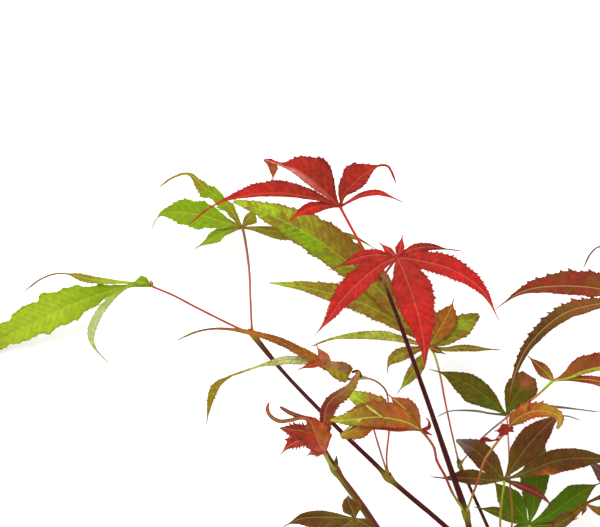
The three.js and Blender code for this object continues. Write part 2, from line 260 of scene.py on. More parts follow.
add_leaf(
    "leaf_red_top", "leaf_red", [136, 128, 87],
    [[153.2, 98.4, 79], [145.6, 110.4, 82], [136.4, 127, 86.5]],
    stalk_tones="orange bright_red bright_red", tones="dark_red crimson bright_red", edge="maroon",
    vein="rose", under="pink", teeth=0.9,
    lobes=[
        lobe([[-9, 3], [-26, 5.4], [-43, 3.2], [-51, 0], [-60, -7]], 1.5, 5.1, -4, tail=0.8, tip=0.35,
             tones="dark_red crimson bright_red crimson"),
        lobe([[-7.4, 6.6], [-17, 13.8], [-22, 16], [-30, 18.8]], 1.9, 10, 3, full=0.46, tail=0.84,
             neck=1.6, tip=0.8, left_tones="crimson rose pink pink"),
        lobe([[-28, 16.6], [-27, 13.4], [-26.6, 10.2]], 2.8, 1, -3, start=[-30.2, 18.6, 3], full=0.4,
             neck=0.9, tones="crimson orange brown"),
        lobe([[1.4, 5], [5, 8.8], [9.4, 12.8], [15.4, 16.2], [18.6, 16], [20.2, 13.8], [22, 9.2]],
             6.7, 3.5, 3, full=0.38, tail=0.68, neck=1.8, tip=0.5,
             tones="dark_red crimson crimson crimson"),
        lobe([[4.6, 2.6], [8.9, 4.7], [14.8, 5.5], [19.8, 3.9], [25.3, 1.5]], 1.3, 1.2, -2, full=0.5,
             tones="crimson bright_red crimson"),
        lobe([[-6, 0.4], [-11.4, -0.5], [-16.2, -2.4], [-20.6, -6]], 2.6, 2.3, -6, full=0.5, tip=0.4,
             tones="dark_red bright_red bright_red"),
    ],
)
add_leaf(
    "leaf_red_low", "leaf_red", [158.4, 107.8, 94],
    [[153.2, 98.4, 79], [154, 101.5, 85], [156.6, 105.4, 91]],
    stalk_tones="orange bright_red crimson", tones="crimson bright_red bright_red", edge="dark_red",
    vein="pink", under="pink", teeth=1.15, vein_show=0.75, stalk_sizes=[0.9, 0.9],
    lobes=[
        lobe([[-5.6, -2.4], [-11.6, -6.8], [-22, -17], [-26.4, -23.4], [-33, -31.4]], 4.2, 5.5, -3,
             tail=0.95, neck=0.9),
        lobe([[2.2, -4.8], [7.2, -18.6], [10.4, -33], [11, -43.8]], 8.6, 7.2, -3, full=0.3, tail=0.98,
             neck=0.9),
        lobe([[7.6, -1], [22.4, -5.2], [33.6, -13], [40.8, -25.6]], 5.2, 3.7, -4, full=0.34, tail=0.93,
             neck=0.9),
        lobe([[-6.8, 1], [-13.2, 0.4], [-22.8, -3.4], [-27.2, -5]], 2.8, 2.6, -5, full=0.4, tail=0.85,
             tones="crimson bright_red maroon"),
        lobe([[4, 2.4], [8.4, 3.8], [13.6, 4.2], [18.8, 3.4], [25.6, 2.6]], 1.9, 2, -4, full=0.36,
             tail=0.8, tones="crimson crimson maroon maroon"),
        lobe([[-2.8, 2.2], [-7.2, 6]], 1.5, 1.5, 0, tones="crimson bright_red dark_red"),
        lobe([[1, 3], [2.2, 9]], 1.8, 1.8, 1, tones="crimson bright_red dark_red"),
    ],
)
add_leaf(
    "leaf_green_top", "leaf_green", [96.4, 120, 18.5],
    [[100.6, 76.8, 27], [100, 90, 27], [99.3, 104, 23], [97, 118.6, 19]],
    stalk_tones="brown rose brown olive", tones="brown yellow_green yellow_green", edge="leaf_green",
    vein="lime", under="lime", teeth=0.7, stalk_sizes=[0.8, 1],
    lobes=[
        lobe([[-6.2, 9.4], [-15.4, 16.4], [-21, 21.4], [-26, 21.2], [-33.2, 16.6]], 3.2, 2.2, 3,
             full=0.45, tail=0.76, neck=0.7, tip=0.5, jags=[1.8, 1.6], lumps=0.3,
             tones="brown olive leaf_green leaf_green olive olive olive orange"),
        lobe([[-6, 1.8], [-20, 5.6], [-31.6, 5.8], [-34.6, 3.4], [-36.8, -1.4]], 5.7, 5.9, 1, full=0.5,
             tail=0.87, lumps=0.1,
             tones="brown leaf_green leaf_green leaf_green leaf_green leaf_green grey_violet"),
        lobe([[-5.2, -1.2], [-10.4, -3.4], [-19.6, -9]], 2.4, 2.2, -3, full=0.5, lumps=0.2,
             tones="brown leaf_green leaf_green leaf_green"),
        lobe([[2, 3], [6.2, 7.2]], 1.8, 3.6, 1, full=0.6, tones="brown olive leaf_green"),
        lobe([[5.2, -0.4], [13.2, -1.6], [35.2, -2.8], [45.2, -3.8], [54.4, -8.8]], 2.7, 3.4, 1,
             full=0.36, tail=0.98, tones="brown olive olive olive orange"),
    ],
)
add_leaf(
    "leaf_green_left", "leaf_green", [60, 96.4, 25],
    [[100.8, 76.8, 27], [91.8, 80.8, 28], [76.4, 88.5, 27], [68.8, 92.5, 26.5], [60.8, 95.9, 25]],
    stalk_tones="rose crimson rose", tones="yellow_green", edge="leaf_green", vein="lime", under="lime",
    tooth_gap=1.4, stalk_sizes=[0.9, 0.75],
    lobes=[
        lobe([[-9.4, 1.2], [-23, 2.4], [-37.4, 5], [-44.8, 2.8], [-51.8, -2.2]], 1.8, 1.5, -9, full=0.5,
             tail=0.64, neck=2.4, tip=0.35, tones="yellow_green yellow_green olive brown maroon"),
        lobe([[-10.6, -0.4], [-19.4, -2.8], [-46.2, -14], [-64.4, -23.8], [-71.2, -29.6]],
             6.4, 8.3, -24.6, full=0.5, tail=1.12, neck=2.5, jags=[0.5, 0.5], lumps=0.13,
             tones="yellow_green leaf_green yellow_green yellow_green olive"),
        lobe([[-7, 0.4], [-11.8, -1.4], [-21, -10.6], [-24.6, -19.8], [-23.2, -25], [-16.8, -32.2]],
             1.7, 1.7, -6, full=0.6, tones="leaf_green leaf_green pale_green pale_green olive"),
        lobe([[-3, 1.4], [-8.2, 1.4]], 1.3, 2.1, 1, full=0.55, lumps=0.3,
             tones="brown leaf_green leaf_green"),
        lobe([[-0.4, 2.4]], 0.8, 0.9, 1, tones="brown olive olive"),
    ],
)
add_leaf(
    "leaf_mottled_long", "leaf_mottled", [172, 72, 31],
    [[184.4, 24, 28], [181.2, 37.6, 29], [178.4, 50.8, 30], [176.4, 61.2, 31], [174, 69.2, 31]],
    stalk_tones="olive magenta_red rose yellow_green yellow_green", tones="brown olive olive",
    edge="brown", vein="lime", under="lime", teeth=0.8, tooth_gap=1.3, stalk_sizes=[0.65, 0.8],
    lobes=[
        lobe([[-9.6, 10.4], [-19.6, 22.4], [-44.4, 42.4], [-67, 54.4], [-78.8, 58.6]], 6.2, 8.8, -1,
             full=0.6, tail=1.05, neck=0.9, tip=0.7, patch=[0.4, 0.55, 0.16, "brown"],
             tones="olive olive olive olive yellow_green yellow_green",
             left_tones="olive olive olive leaf_green leaf_green yellow_green"),
        lobe([[-7.6, 6], [-16.4, 12], [-26.8, 17.2], [-49.6, 23.7], [-64.4, 25.6]], 4.1, 5.7, -3,
             full=0.4, tail=1.02, tip=0.6, tones="brown olive olive olive yellow_green"),
        lobe([[-7.6, 1.8], [-17.6, 3.8], [-29.6, 4], [-39.6, 2.8], [-47.6, -0.2]], 1.4, 2.2, -6, tip=0.45,
             tones="olive lime yellow_green olive"),
        lobe([[-5.2, -1.4], [-14, -5], [-16.2, -7.6], [-16.8, -11.2]], 2.6, 2.9, -3, full=0.55),
        lobe([[-2.6, -5], [-6, -10], [-13, -19.6]], 3, 2.6, -4, full=0.45,
             tones="olive olive yellow_green"),
        lobe([[3.2, 5], [8.8, 15.2], [10.4, 19.6]], 4.6, 5.4, -2, full=0.54, neck=0.9,
             tones="olive orange orange crimson"),
        lobe([[6, 3.2], [16, 10.2], [20.4, 12.6]], 4.2, 4.6, -4, full=0.62, tail=1.1, neck=0.9,
             tones="olive olive yellow_green brown"),
        lobe([[6.8, -1.2], [13.2, -0.6], [19.6, -1], [29.6, -1.6]], 1.3, 1.5, -5, full=0.5,
             tones="olive olive orange"),
        lobe([[3.6, -1.8], [6.8, -3.2]], 1.2, 1.2, 1, tones="brown"),
    ],
)
add_leaf(
    "leaf_orange_right", "leaf_orange", [221.6, 58.4, 48],
    [[184.4, 24, 28], [194, 35.6, 37], [202.8, 43.2, 44], [208, 47.2, 46], [214.8, 52, 47],
     [220.8, 57.6, 48]],
    stalk_tones="olive grey_violet rose rose yellow_green yellow_green",
    tones="orange bright_red bright_red", edge="dark_red", vein="lime", under="orange", teeth=0.6,
    vein_show=1.2, stalk_sizes=[0.6, 1.1],
    lobes=[
        lobe([[-1.6, 2], [-8, 8], [-10.4, 10.2]], 2.7, 2.4, -2, neck=0.8, tones="olive brown dark_red"),
        lobe([[6.4, 1.4], [12, 3.8], [18.8, 5.4], [26, 5.4], [36, 0.2]], 6.2, 1.5, -3,
             tones="yellow_green yellow_green olive", left_tones="orange brown dark_red crimson"),
        lobe([[6.8, 0.6], [15.6, 0.2], [21.2, -1.4], [31.6, -7.4]], 2, 1.9, -6, full=0.6,
             tones="olive dark_red rose grey_violet"),
    ],
)
add_leaf(
    "leaf_dark_high", "leaf_brown", [203.2, 44.4, 38],
    [[202.4, -16.4, 30], [205.6, 2.8, 38], [204.6, 15.6, 40], [204, 32.4, 39], [203.4, 43, 38]],
    stalk_tones="brown orange pink pink", tones="dark_olive", edge="dark_brown", vein="olive",
    under="grey_violet", teeth=0.4, stalk_sizes=[0.75, 0.55],
    lobes=[
        lobe([[-5, 4.6], [-10.2, 8.8], [-21.4, 15.4], [-31, 18.4]], 6, 4.7, -2, full=0.46,
             left_tones="deep_green dark_olive dark_olive"),
        lobe([[2.1, 5.2], [5.6, 11.2], [8.8, 16.3]], 5.6, 7, 2, full=0.66, tail=1.25,
             patch=[0.84, 0.1, 0.13, "rose"], tones="deep_green dark_olive dark_olive brown"),
        lobe([[-6.6, 0.6], [-12.6, 1.6], [-23, 1.4], [-27.8, -0.8]], 0.35, 0.35, -4,
             tones="dark_olive grey_violet grey_violet"),
        lobe([[9.4, 2.4], [18.2, 3.2], [38.2, 1]], 0.6, 0.5, -4,
             tones="dark_olive grey_violet grey_violet"),
        lobe([[8.6, -0.4], [24.6, -0.6], [30.2, -2.4]], 0.6, 0.5, -7,
             tones="dark_olive grey_violet grey_violet"),
    ],
)
add_leaf(
    "leaf_dark_star", "leaf_brown", [202, 18.4, 46],
    [[202.4, -16.4, 30], [200.6, 0, 40], [201.2, 10, 44], [202, 16.6, 45.8]],
    stalk_tones="olive olive yellow_green", tones="dark_olive dark_brown dark_brown", edge="maroon",
    vein="tan", under="brown", teeth=0.4, vein_show=0.7, stalk_sizes=[0.85, 0.85],
    lobes=[
        lobe([[-6, 0], [-17.2, 1], [-22, 0.6], [-29.6, 1.2]], 2.6, 3.6, -4, tail=0.87,
             tones="dark_olive dark_brown maroon"),
        lobe([[-3.6, 3.8], [-11.2, 11.6], [-19.2, 16]], 4.4, 5.2, -2, full=0.5, tail=1.08, neck=0.95,
             tones="dark_olive dark_brown dark_brown grey_violet"),
        lobe([[3.2, 5], [10.4, 14.8], [18, 22.8], [20.8, 24.8]], 6.1, 5.8, 1, full=0.55, tail=1.1,
             neck=1.5, tones="dark_olive dark_brown dark_brown maroon"),
        lobe([[6.8, 2.4], [22.4, 8], [38.4, 8.6], [48.4, 6.8]], 4.7, 5, -2, full=0.46, tail=0.95,
             neck=1.8, patch=[0.35, 0.95, 0.07, "orange"],
             tones="dark_olive dark_brown dark_brown dark_brown"),
        lobe([[5.2, -1.8], [14.8, -6.2], [20.8, -12.4]], 1.9, 1.8, -3,
             tones="dark_brown maroon maroon brown"),
    ],
)
add_leaf(
    "leaf_green_low", "leaf_green", [212.4, 0, 32],
    [[222, -31, 26], [217.4, -14, 31], [213, -1.6, 32]],
    stalk_tones="olive yellow_green yellow_green", tones="deep_green", edge="deep_green",
    vein="leaf_green", under="lime", teeth=0.4,
    lobes=[
        lobe([[-6, 2], [-11.6, 4.8], [-22.4, 7.2]], 2.2, 2.3, 1, full=0.5,
             tones="deep_green dark_olive dark_olive"),
        lobe([[-4, 5.6], [-8.8, 11.4], [-15.6, 19]], 5.1, 4.7, 1, full=0.5,
             tones="deep_green deep_green olive"),
        lobe([[1.6, 5.8], [2.4, 12.2], [3.6, 19], [6, 31]], 6.8, 4.6, -2, full=0.62, tail=1.1),
        lobe([[7.6, 3.6], [19.6, 12], [25.2, 15], [31.2, 17.8]], 5, 5.2, -3, full=0.55, edge="dark_olive",
             tones="deep_green deep_green deep_green brown"),
        lobe([[7, -0.4], [14, 0.6], [20.4, 2.6]], 2.4, 2.4, -4, full=0.55,
             tones="deep_green dark_olive grey_violet"),
        plain(200, 10, 3.5, 0, -1),
        plain(325, 14, 5, 0, -3),
    ],
)
add_leaf(
    "leaf_olive_low", "leaf_mottled", [234.8, 8.8, 44],
    [[222, -31, 26], [219.6, -7.2, 37], [224, 3.2, 41], [231.2, 6.4, 43], [234, 8.4, 44]],
    stalk_tones="dark_brown maroon maroon", tones="dark_olive", edge="dark_brown", vein="olive",
    under="olive", teeth=0.5, stalk_sizes=[0.7, 0.6],
    lobes=[
        lobe([[3, 1.5], [8, 3.6], [15, 7], [21, 10]], 0.9, 1.1, -2,
             tones="shoot_maroon shoot_maroon maroon"),
        lobe([[5, -2.6], [11, -4], [20, -5]], 1.9, 1.9, -2,
             tones="orange dark_olive dark_olive dark_olive"),
        lobe([[-3.6, -3.4], [-9, -7], [-15.6, -11.6]], 2, 2.2, -3, full=0.5,
             tones="brown dark_brown dark_olive dark_brown"),
        plain(255, 5, 2.2, 0, -2),
    ],
)
add_leaf(
    "leaf_brown_inner", "leaf_brown", [255, 10, 36.5],
    [[268, 24, 42], [262, 15.5, 40], [256, 10.8, 37]],
    stalk_tones="olive brown brown", tones="brown dark_brown grey_violet", edge="maroon", vein="tan",
    under="brown", teeth=0.5,
    lobes=[
        plain(140, 28, 9, 0, -1),
        plain(104, 20, 7, 0, -2),
        plain(185, 12.5, 6, 0, -1),
        plain(66, 13, 5, 0, -4),
        plain(226, 16, 5.5, 0, -3),
    ],
)
add_leaf(
    "leaf_brown_outer", "leaf_brown", [284, 14, 35],
    [[268, 24, 42], [277, 19.5, 41], [283, 15, 36]],
    stalk_tones="olive brown brown", tones="brown dark_brown dark_brown", edge="maroon", vein="tan",
    under="brown", teeth=0.6,
    lobes=[
        plain(350, 30, 9, 2, -14),
        plain(308, 29, 8.5, 0, -12),
        plain(32, 25, 8, 0, -8),
        plain(266, 20, 6.5, 0, -6),
        plain(68, 13, 4.5, 0, -2),
    ],
)
add_leaf(
    "leaf_brown_right", "leaf_brown", [250, 90.8, 62],
    [[268, 54, 46], [262, 74, 54], [251.4, 89.4, 61.6]],
    stalk_tones="maroon crimson brown", tones="brown dark_red dark_brown", edge="maroon", vein="tan",
    under="brown", teeth=1.25, tooth_gap=2.0, vein_show=2.6,
    lobes=[
        lobe([[-8.4, 4], [-26, 5.6], [-40.4, 3.6], [-52.4, -4]], 3.8, 6.7, -4, full=0.3, tail=0.93,
             jags=[1, 0.35], tones="brown dark_red dark_red maroon"),
        lobe([[-9.2, -1.2], [-24.8, -5.6], [-39.2, -19.2], [-45.4, -35.2], [-46, -42]], 2.9, 3.8, -8,
             full=0.3, tail=0.98, tip=0.5, jags=[1.4, 0.3],
             tones="brown brown dark_brown dark_brown brown"),
        lobe([[-2.4, 8], [-7.6, 20.4], [-10.8, 21.2], [-14, 18.4], [-16.8, 12.8]], 2.4, 2.4, 2, full=0.36,
             tail=0.62, tip=0.35, tones="brown dark_red maroon"),
        plain(66, 32, 10, 0, -2),
        plain(28, 27, 8, 0, -6),
        plain(330, 14, 4.5, 0, -3),
    ],
)
add_leaf(
    "leaf_brown_far", "leaf_brown", [286, 76.2, 34.5],
    [[268, 54, 46], [277, 65, 45], [285, 75, 36]],
    stalk_tones="maroon crimson brown", tones="brown dark_red dark_brown", edge="maroon", vein="orange",
    under="brown", teeth=1.3, tooth_gap=1.8,
    lobes=[
        plain(8, 35, 9.5, 0, -34.1),
        plain(50, 33, 9.5, 0, -22),
        plain(92, 24, 7.5, 0, -10),
        plain(322, 27, 7.5, 0, -20),
        plain(136, 13, 4.5, 0, -2),
        plain(286, 12, 4, 0, -5),
    ],
)
add_leaf(
    "leaf_curled_long", "leaf_mottled", [140, 58.8, 56],
    [[155.6, 19.6, 42], [154.8, 27, 45], [155.8, 39.6, 49], [155.4, 50, 52], [154.3, 54.6, 53.5],
     [150.8, 58, 55], [146, 59.6, 56]],
    stalk_tones="olive magenta_red rose brown rose pale_green", tones="olive brown brown", edge="brown",
    vein="olive", under="pale_green", teeth=0.8, stalk_sizes=[0.7, 0.7],
    lobes=[
        lobe([[-5.6, 3.4], [-16.8, 9.8], [-30, 16.2], [-46, 20], [-55.2, 20.4], [-62, 19], [-69.4, 15.8]],
             2, 2, -6, full=0.2, tail=0.85, tip=0.45, jags=[1.6, 1.6],
             tones="olive orange brown orange brown olive"),
        lobe([[-8.8, 5.8], [-23.6, 8.1], [-32.4, 6.6], [-50.4, 0.6]], 1.9, 1.5, -8, full=0.5, tail=0.75,
             tip=0.5, tones="olive pale_green pale_green lime olive"),
        lobe([[-53.6, -2.4], [-55.7, -7.2], [-57.7, -18.4]], 1.8, 1.7, -2, start=[-47.6, 1.6, -7.6],
             jags=[2, 2], tones="olive olive olive brown"),
        lobe([[-12.8, 6.8], [-16.8, 5.6], [-21.2, 4]], 1.6, 1.5, -1, start=[-8, 6.6, 1.5],
             tones="orange crimson bright_red"),
        lobe([[-10.4, 9.2], [-12.4, 12], [-13.6, 14.2]], 2.2, 2, 1, start=[-7.2, 5.6, 1.5],
             tones="olive rose rose"),
        lobe([[-8, 5.4], [-3.6, 3.4], [-0.2, 1.8]], 4, 3.8, 0.6, start=[-13, 7.4, 1.4], full=0.8,
             tail=1.4, tones="rose olive olive", left_tones="rose tan brown"),
        lobe([[3.2, 3.5], [4.4, 1.9], [4, 0.7]], 0.45, 0.45, 1, start=[0.8, 3.1, 1], tip=0.4,
             vein="maroon", tones="maroon shoot_maroon"),
        lobe([[3.6, 1], [7.4, 0.6]], 1.1, 1.1, 0, tail=1.0, tip=0.6, tones="olive pale_green pale_green"),
    ],
)
add_leaf(
    "leaf_small_hidden", "leaf_mottled", [147.2, 46, 50],
    [[155.6, 19.6, 42], [151.2, 33.4, 47], [147.8, 45, 50]],
    stalk_tones="olive magenta_red magenta_red", tones="olive brown brown", edge="brown",
    vein="pale_green", under="pale_green", stalk_sizes=[0.7, 0.7],
    lobes=[
        plain(180, 9, 5, 0, 0),
        plain(140, 8, 5, 0, 0),
        plain(222, 8, 4, 0, 0),
    ],
)
add_leaf(
    "leaf_orange_middle", "leaf_orange", [168, 39.2, 80],
    [[186.8, 4.8, 42], [181.6, 12.6, 50], [178, 20.4, 59], [174.6, 26.8, 67], [173.2, 32.4, 73],
     [169, 38.2, 79]],
    stalk_tones="yellow_green crimson crimson orange yellow_orange", tones="orange orange brown",
    edge="dark_red", vein="lime", under="orange", teeth=0.8, vein_show=1.7,
    lobes=[
        lobe([[-5.2, 3], [-17.2, 5.2], [-29.2, 4], [-36, 3.8]], 4.2, 6.5, -0.5, start=[0, 0, 0.9],
             full=0.45, tail=1.07, neck=0.9, fold=0.06, tones="brown orange brown olive yellow_green"),
        lobe([[-15.6, 6], [-19.6, 8.8], [-28, 13.8]], 3.4, 5.9, 0.6, start=[-8, 4.4, -0.4], full=0.5,
             tail=1.25, neck=0.8, tip=0.6, fold=0, tones="orange olive olive yellow_green"),
        lobe([[-21.2, 3.2], [-26, 0.6], [-32, -2.4]], 4.8, 2.4, -1.4, start=[-14.4, 4.4, -0.2], full=0.5,
             tail=1.2, fold=0, tones="orange orange olive"),
        lobe([[-21.9, 10], [-26.3, 13.6]], 0.4, 0.4, -2.6, start=[-15.4, 5.2, 3.05], tones="lime"),
        lobe([[-28.3, 0.8], [-30.3, -0.8]], 0.4, 0.4, -3.5, start=[-23.5, 4.8, 2.75], tones="lime"),
        lobe([[-3.2, 5.4], [-6.4, 8.6], [-13.6, 14.8]], 5, 4.4, 0.4, full=0.5, fold=0,
             tones="orange brown crimson"),
        lobe([[-4.4, 0.6], [-16.4, 1.2], [-25.6, -0.4]], 1.7, 1.6, -2, tones="rose crimson crimson"),
        lobe([[3.2, 1.2], [3.2, 3.4], [2, 5]], 0.8, 0.8, 1, tip=0.3, vein="maroon", tones="dark_red"),
        lobe([[4.6, -2]], 0.7, 0.7, 0, tip=0.3, vein="maroon", tones="dark_red"),
    ],
)
add_leaf(
    "leaf_crumpled", "leaf_orange", [203.6, 41.2, 78],
    [[186.8, 4.8, 42], [189.4, 13, 51], [191, 17.6, 56], [193.8, 26.8, 64], [197, 32, 70],
     [202.8, 40, 77.5]],
    stalk_tones="yellow_green crimson orange yellow_orange leaf_green",
    tones="yellow_orange yellow_orange crimson", edge="dark_red", vein="lime", under="orange", teeth=1.5,
    stalk_sizes=[0.8, 1],
    lobes=[
        lobe([[2.8, 2.6], [6.8, 4.8], [11.6, 5.8], [16.4, 5], [19.6, 3], [19.4, 0.4], [18.4, -1.4]],
             4, 3, 2, full=0.26, tail=1.16, neck=0.6, tones="brown orange yellow_orange yellow_orange"),
        lobe([[6.4, 8], [8, 10.2]], 1.8, 1.8, 2, start=[3.6, 4.8, 1],
             tones="yellow_orange orange maroon"),
        lobe([[-3.2, -2], [-6.4, -2.4]], 2.3, 2.3, 1, vein="maroon", tones="maroon dark_red maroon"),
        lobe([[-3.6, -3.6], [-5.6, -5.2]], 1.8, 1.8, 0, vein="maroon", tones="maroon brown dark_red"),
        lobe([[0.4, -2], [1.6, -2.8]], 1.4, 1.4, 1, vein="maroon", tones="maroon dark_red maroon"),
        lobe([[-7.6, -6.2], [-9.8, -5.8], [-12.8, -7.2]], 1.1, 1.1, 1, start=[-4.4, -5.6, -1], full=0.75,
             tail=1.0, neck=3, edge="maroon", vein="maroon", tones="maroon"),
    ],
)
add_leaf(
    "leaf_curled_red", "leaf_red", [130, 30, 70],
    [[134.4, 22.8, 60], [132.4, 25, 66], [130.4, 28.6, 69.6]],
    stalk_tones="olive yellow_green crimson", tones="brown brown crimson", edge="dark_red", vein="tan",
    under="pink", teeth=1.3, vein_show=1.4,
    lobes=[
        lobe([[-2.4, 3.8], [-6.4, 13], [-9.2, 14], [-14, 13], [-18, 12.6], [-21.6, 14.6], [-23, 17.4],
              [-22.4, 20]],
             5.6, 6.4, 4, full=0.22, tail=0.46, neck=0.8, tip=0.8,
             tones="rose orange crimson brown brown crimson",
             left_tones="rose crimson brown brown brown crimson"),
        lobe([[-0.4, 6.6], [-0.4, 13], [0.4, 17.8], [2.8, 21.4], [9.2, 25.8], [11.6, 29], [13.2, 32.6]],
             2.1, 4.2, 3, full=0.5, tail=1.14, tones="rose brown brown maroon brown olive tan",
             left_tones="rose brown maroon maroon brown tan rose"),
        lobe([[-8, 8.4], [-12.4, 9], [-18.6, 9.8]], 3.6, 3, -3, start=[-2.8, 5.8, 0.5], full=0.5,
             tail=1.0, jags=[2.2, 2.2], tones="brown dark_red crimson"),
        lobe([[-8.8, 5], [-13, 3.6], [-15.6, 1.6], [-18, -1.2]], 2.8, 3.6, -3, start=[-2.8, 5, 0],
             jags=[2, 2], tones="rose crimson crimson"),
        lobe([[-4.4, 0.2], [-7.4, -1.4]], 2, 2, -2, tones="rose"),
        lobe([[-10, 14.6], [-14, 16], [-18, 18.4]], 0.8, 0.8, 4, start=[-5.2, 13.8, 1], full=0.6,
             tail=1.2, tip=0.45, tones="crimson maroon maroon"),
    ],
)
add_leaf(
    "leaf_brown_left", "leaf_brown", [142, 3.6, 64],
    [[160.8, -15.2, 43], [153.5, -8, 55], [142.8, 2.4, 63.6]],
    stalk_tones="olive brown brown", tones="dark_olive dark_brown dark_brown", edge="brown", vein="tan",
    under="brown", teeth=0.5,
    lobes=[
        lobe([[-6.8, 0.4], [-20.8, 0], [-26, -2], [-29.6, -4.2]], 4.5, 2.8, -4, full=0.5),
        lobe([[-1.2, 3.8], [-2.6, 6.6], [-2.8, 9.4]], 3.8, 4.2, 1, full=0.5, tail=1.0),
        plain(214, 26, 9, 0, -4),
        plain(246, 25, 9, 0, -5),
        plain(284, 20, 7.5, 0, -4),
        plain(330, 12, 4.5, 0, -1),
    ],
)
add_leaf(
    "leaf_brown_below", "leaf_brown", [151, -37, 33],
    [[160.8, -15.2, 43], [158.6, -26, 38], [151.6, -36, 33.4]],
    stalk_tones="olive brown brown", tones="dark_olive dark_brown brown", edge="maroon", vein="tan",
    under="brown", teeth=0.6,
    lobes=[
        plain(160, 25, 8, 0, -4),
        plain(198, 31, 9.5, 0, -8),
        plain(238, 33, 10, 0, -10),
        plain(278, 27, 8.5, 0, -8),
        plain(318, 18, 6.5, 0, -5),
        plain(112, 10, 4, 0, 0),
    ],
)


# Curves and numbers

FINE_STEPS = 60  # steps in which a curve is measured, for each of its points
FEWEST_ROWS = 6
WAVE_SHARES = (1, 0.63, 0.41)  # lengths and heights of three waves, to the first
WAVE_SUM = 1.6  # most of their sum stays within this
ABOUT_A_TURN = 6.3  # range of their random starts, in radians
TONE_LEVEL = 0.86


def mm(length):
    """A length of the panel, which is in metres, in the millimetres of the tables."""
    return length * 1000


def run_along(points):
    """How far along their line each of the points lies."""
    return np.concatenate([[0], np.cumsum(np.linalg.norm(np.diff(points, axis=0), axis=1))])


def places_on(points, at):
    """Places along the smooth curve through points, for values of at from 0 to 1."""
    knots = np.asarray(points, float)
    knots = np.vstack([2 * knots[0] - knots[1], knots, 2 * knots[-1] - knots[-2]])
    gaps = np.maximum(np.linalg.norm(np.diff(knots, axis=0), axis=1) ** 0.5, 1e-3)
    place = np.clip(at, 0, 1) * (len(points) - 1)
    span = np.minimum(place.astype(int), len(points) - 2)
    part = (place - span)[:, None]
    before, start, end, after = (knots[span + k] for k in range(4))
    gap_before, gap, gap_after = (gaps[span + k][:, None] for k in range(3))
    leaving = (start - before) / gap_before - (end - before) / (gap_before + gap) + (end - start) / gap
    arriving = (end - start) / gap - (after - start) / (gap + gap_after) + (after - end) / gap_after
    leaving = gap * leaving
    arriving = gap * arriving
    square = 3 * (end - start) - 2 * leaving - arriving
    cube = 2 * (start - end) + leaving + arriving
    return start + leaving * part + square * part**2 + cube * part**3


class Line:
    """Evenly spaced rows along the curve through points, with the directions across and above it."""

    def __init__(self, points, spacing):
        fine = np.linspace(0, 1, FINE_STEPS * len(points))
        run = run_along(places_on(points, fine))
        self.length = run[-1]
        rows = max(int(self.length / spacing), FEWEST_ROWS)
        self.along = np.linspace(0, self.length, rows + 1)
        self.share = np.interp(self.along, run, fine)
        self.spots = places_on(points, self.share)
        travel = np.gradient(self.spots, axis=0)
        self.travel = travel / np.linalg.norm(travel, axis=1)[:, None]
        side = np.cross(self.travel, [0, 0, 1])
        self.side = side / np.linalg.norm(side, axis=1)[:, None]
        self.above = np.cross(self.side, self.travel)
        self.fine, self.run = fine, run

    def run_at(self, share):
        """How far along the line a share of the way through its points lies."""
        return np.interp(share, self.fine, self.run)


def turns(sides):
    """The angles of the sides around a shell."""
    return np.arange(sides) * 2 * np.pi / sides


def smooth(value, low, high):
    """0 below low and 1 above high, with a soft step between."""
    step = np.clip((value - low) / (high - low), 0, 1)
    return step * step * (3 - 2 * step)


def bump(value, middle, reach):
    """A soft hump of height 1 around the middle."""
    return np.exp(-(((value - middle) / reach) ** 2))


def mixed(first, second, share):
    """The first where share is 0, the second where it is 1, and a blend of the two between."""
    return first * (1 - share) + second * share


def waves(value, length, chance):
    """A gentle irregular wave between about -1 and 1, the sum of three that never fall in step."""
    total = 0
    for share in WAVE_SHARES:
        turn = chance.uniform(0, ABOUT_A_TURN)
        total = total + share * np.sin(2 * np.pi * value / (length * share) + turn)
    return total / WAVE_SUM


def tone(name):
    """A named colour of the panel, in a shader's linear values and at the level that suits the light."""
    shade = np.array(getattr(bpy.context.scene.maple_tones, name))
    return TONE_LEVEL * np.where(shade <= 0.04045, shade / 12.92, ((shade + 0.055) / 1.055) ** 2.4)


def tones_along(names, share):
    """Colours that run through the named tones, for shares from 0 to 1."""
    shades = np.array([tone(name) for name in names.split()])
    stops = np.linspace(0, 1, len(shades))
    return np.stack([np.interp(share, stops, shades[:, k]) for k in range(3)], axis=-1)


# Meshes

SHARP_ANGLE = math.radians(60)


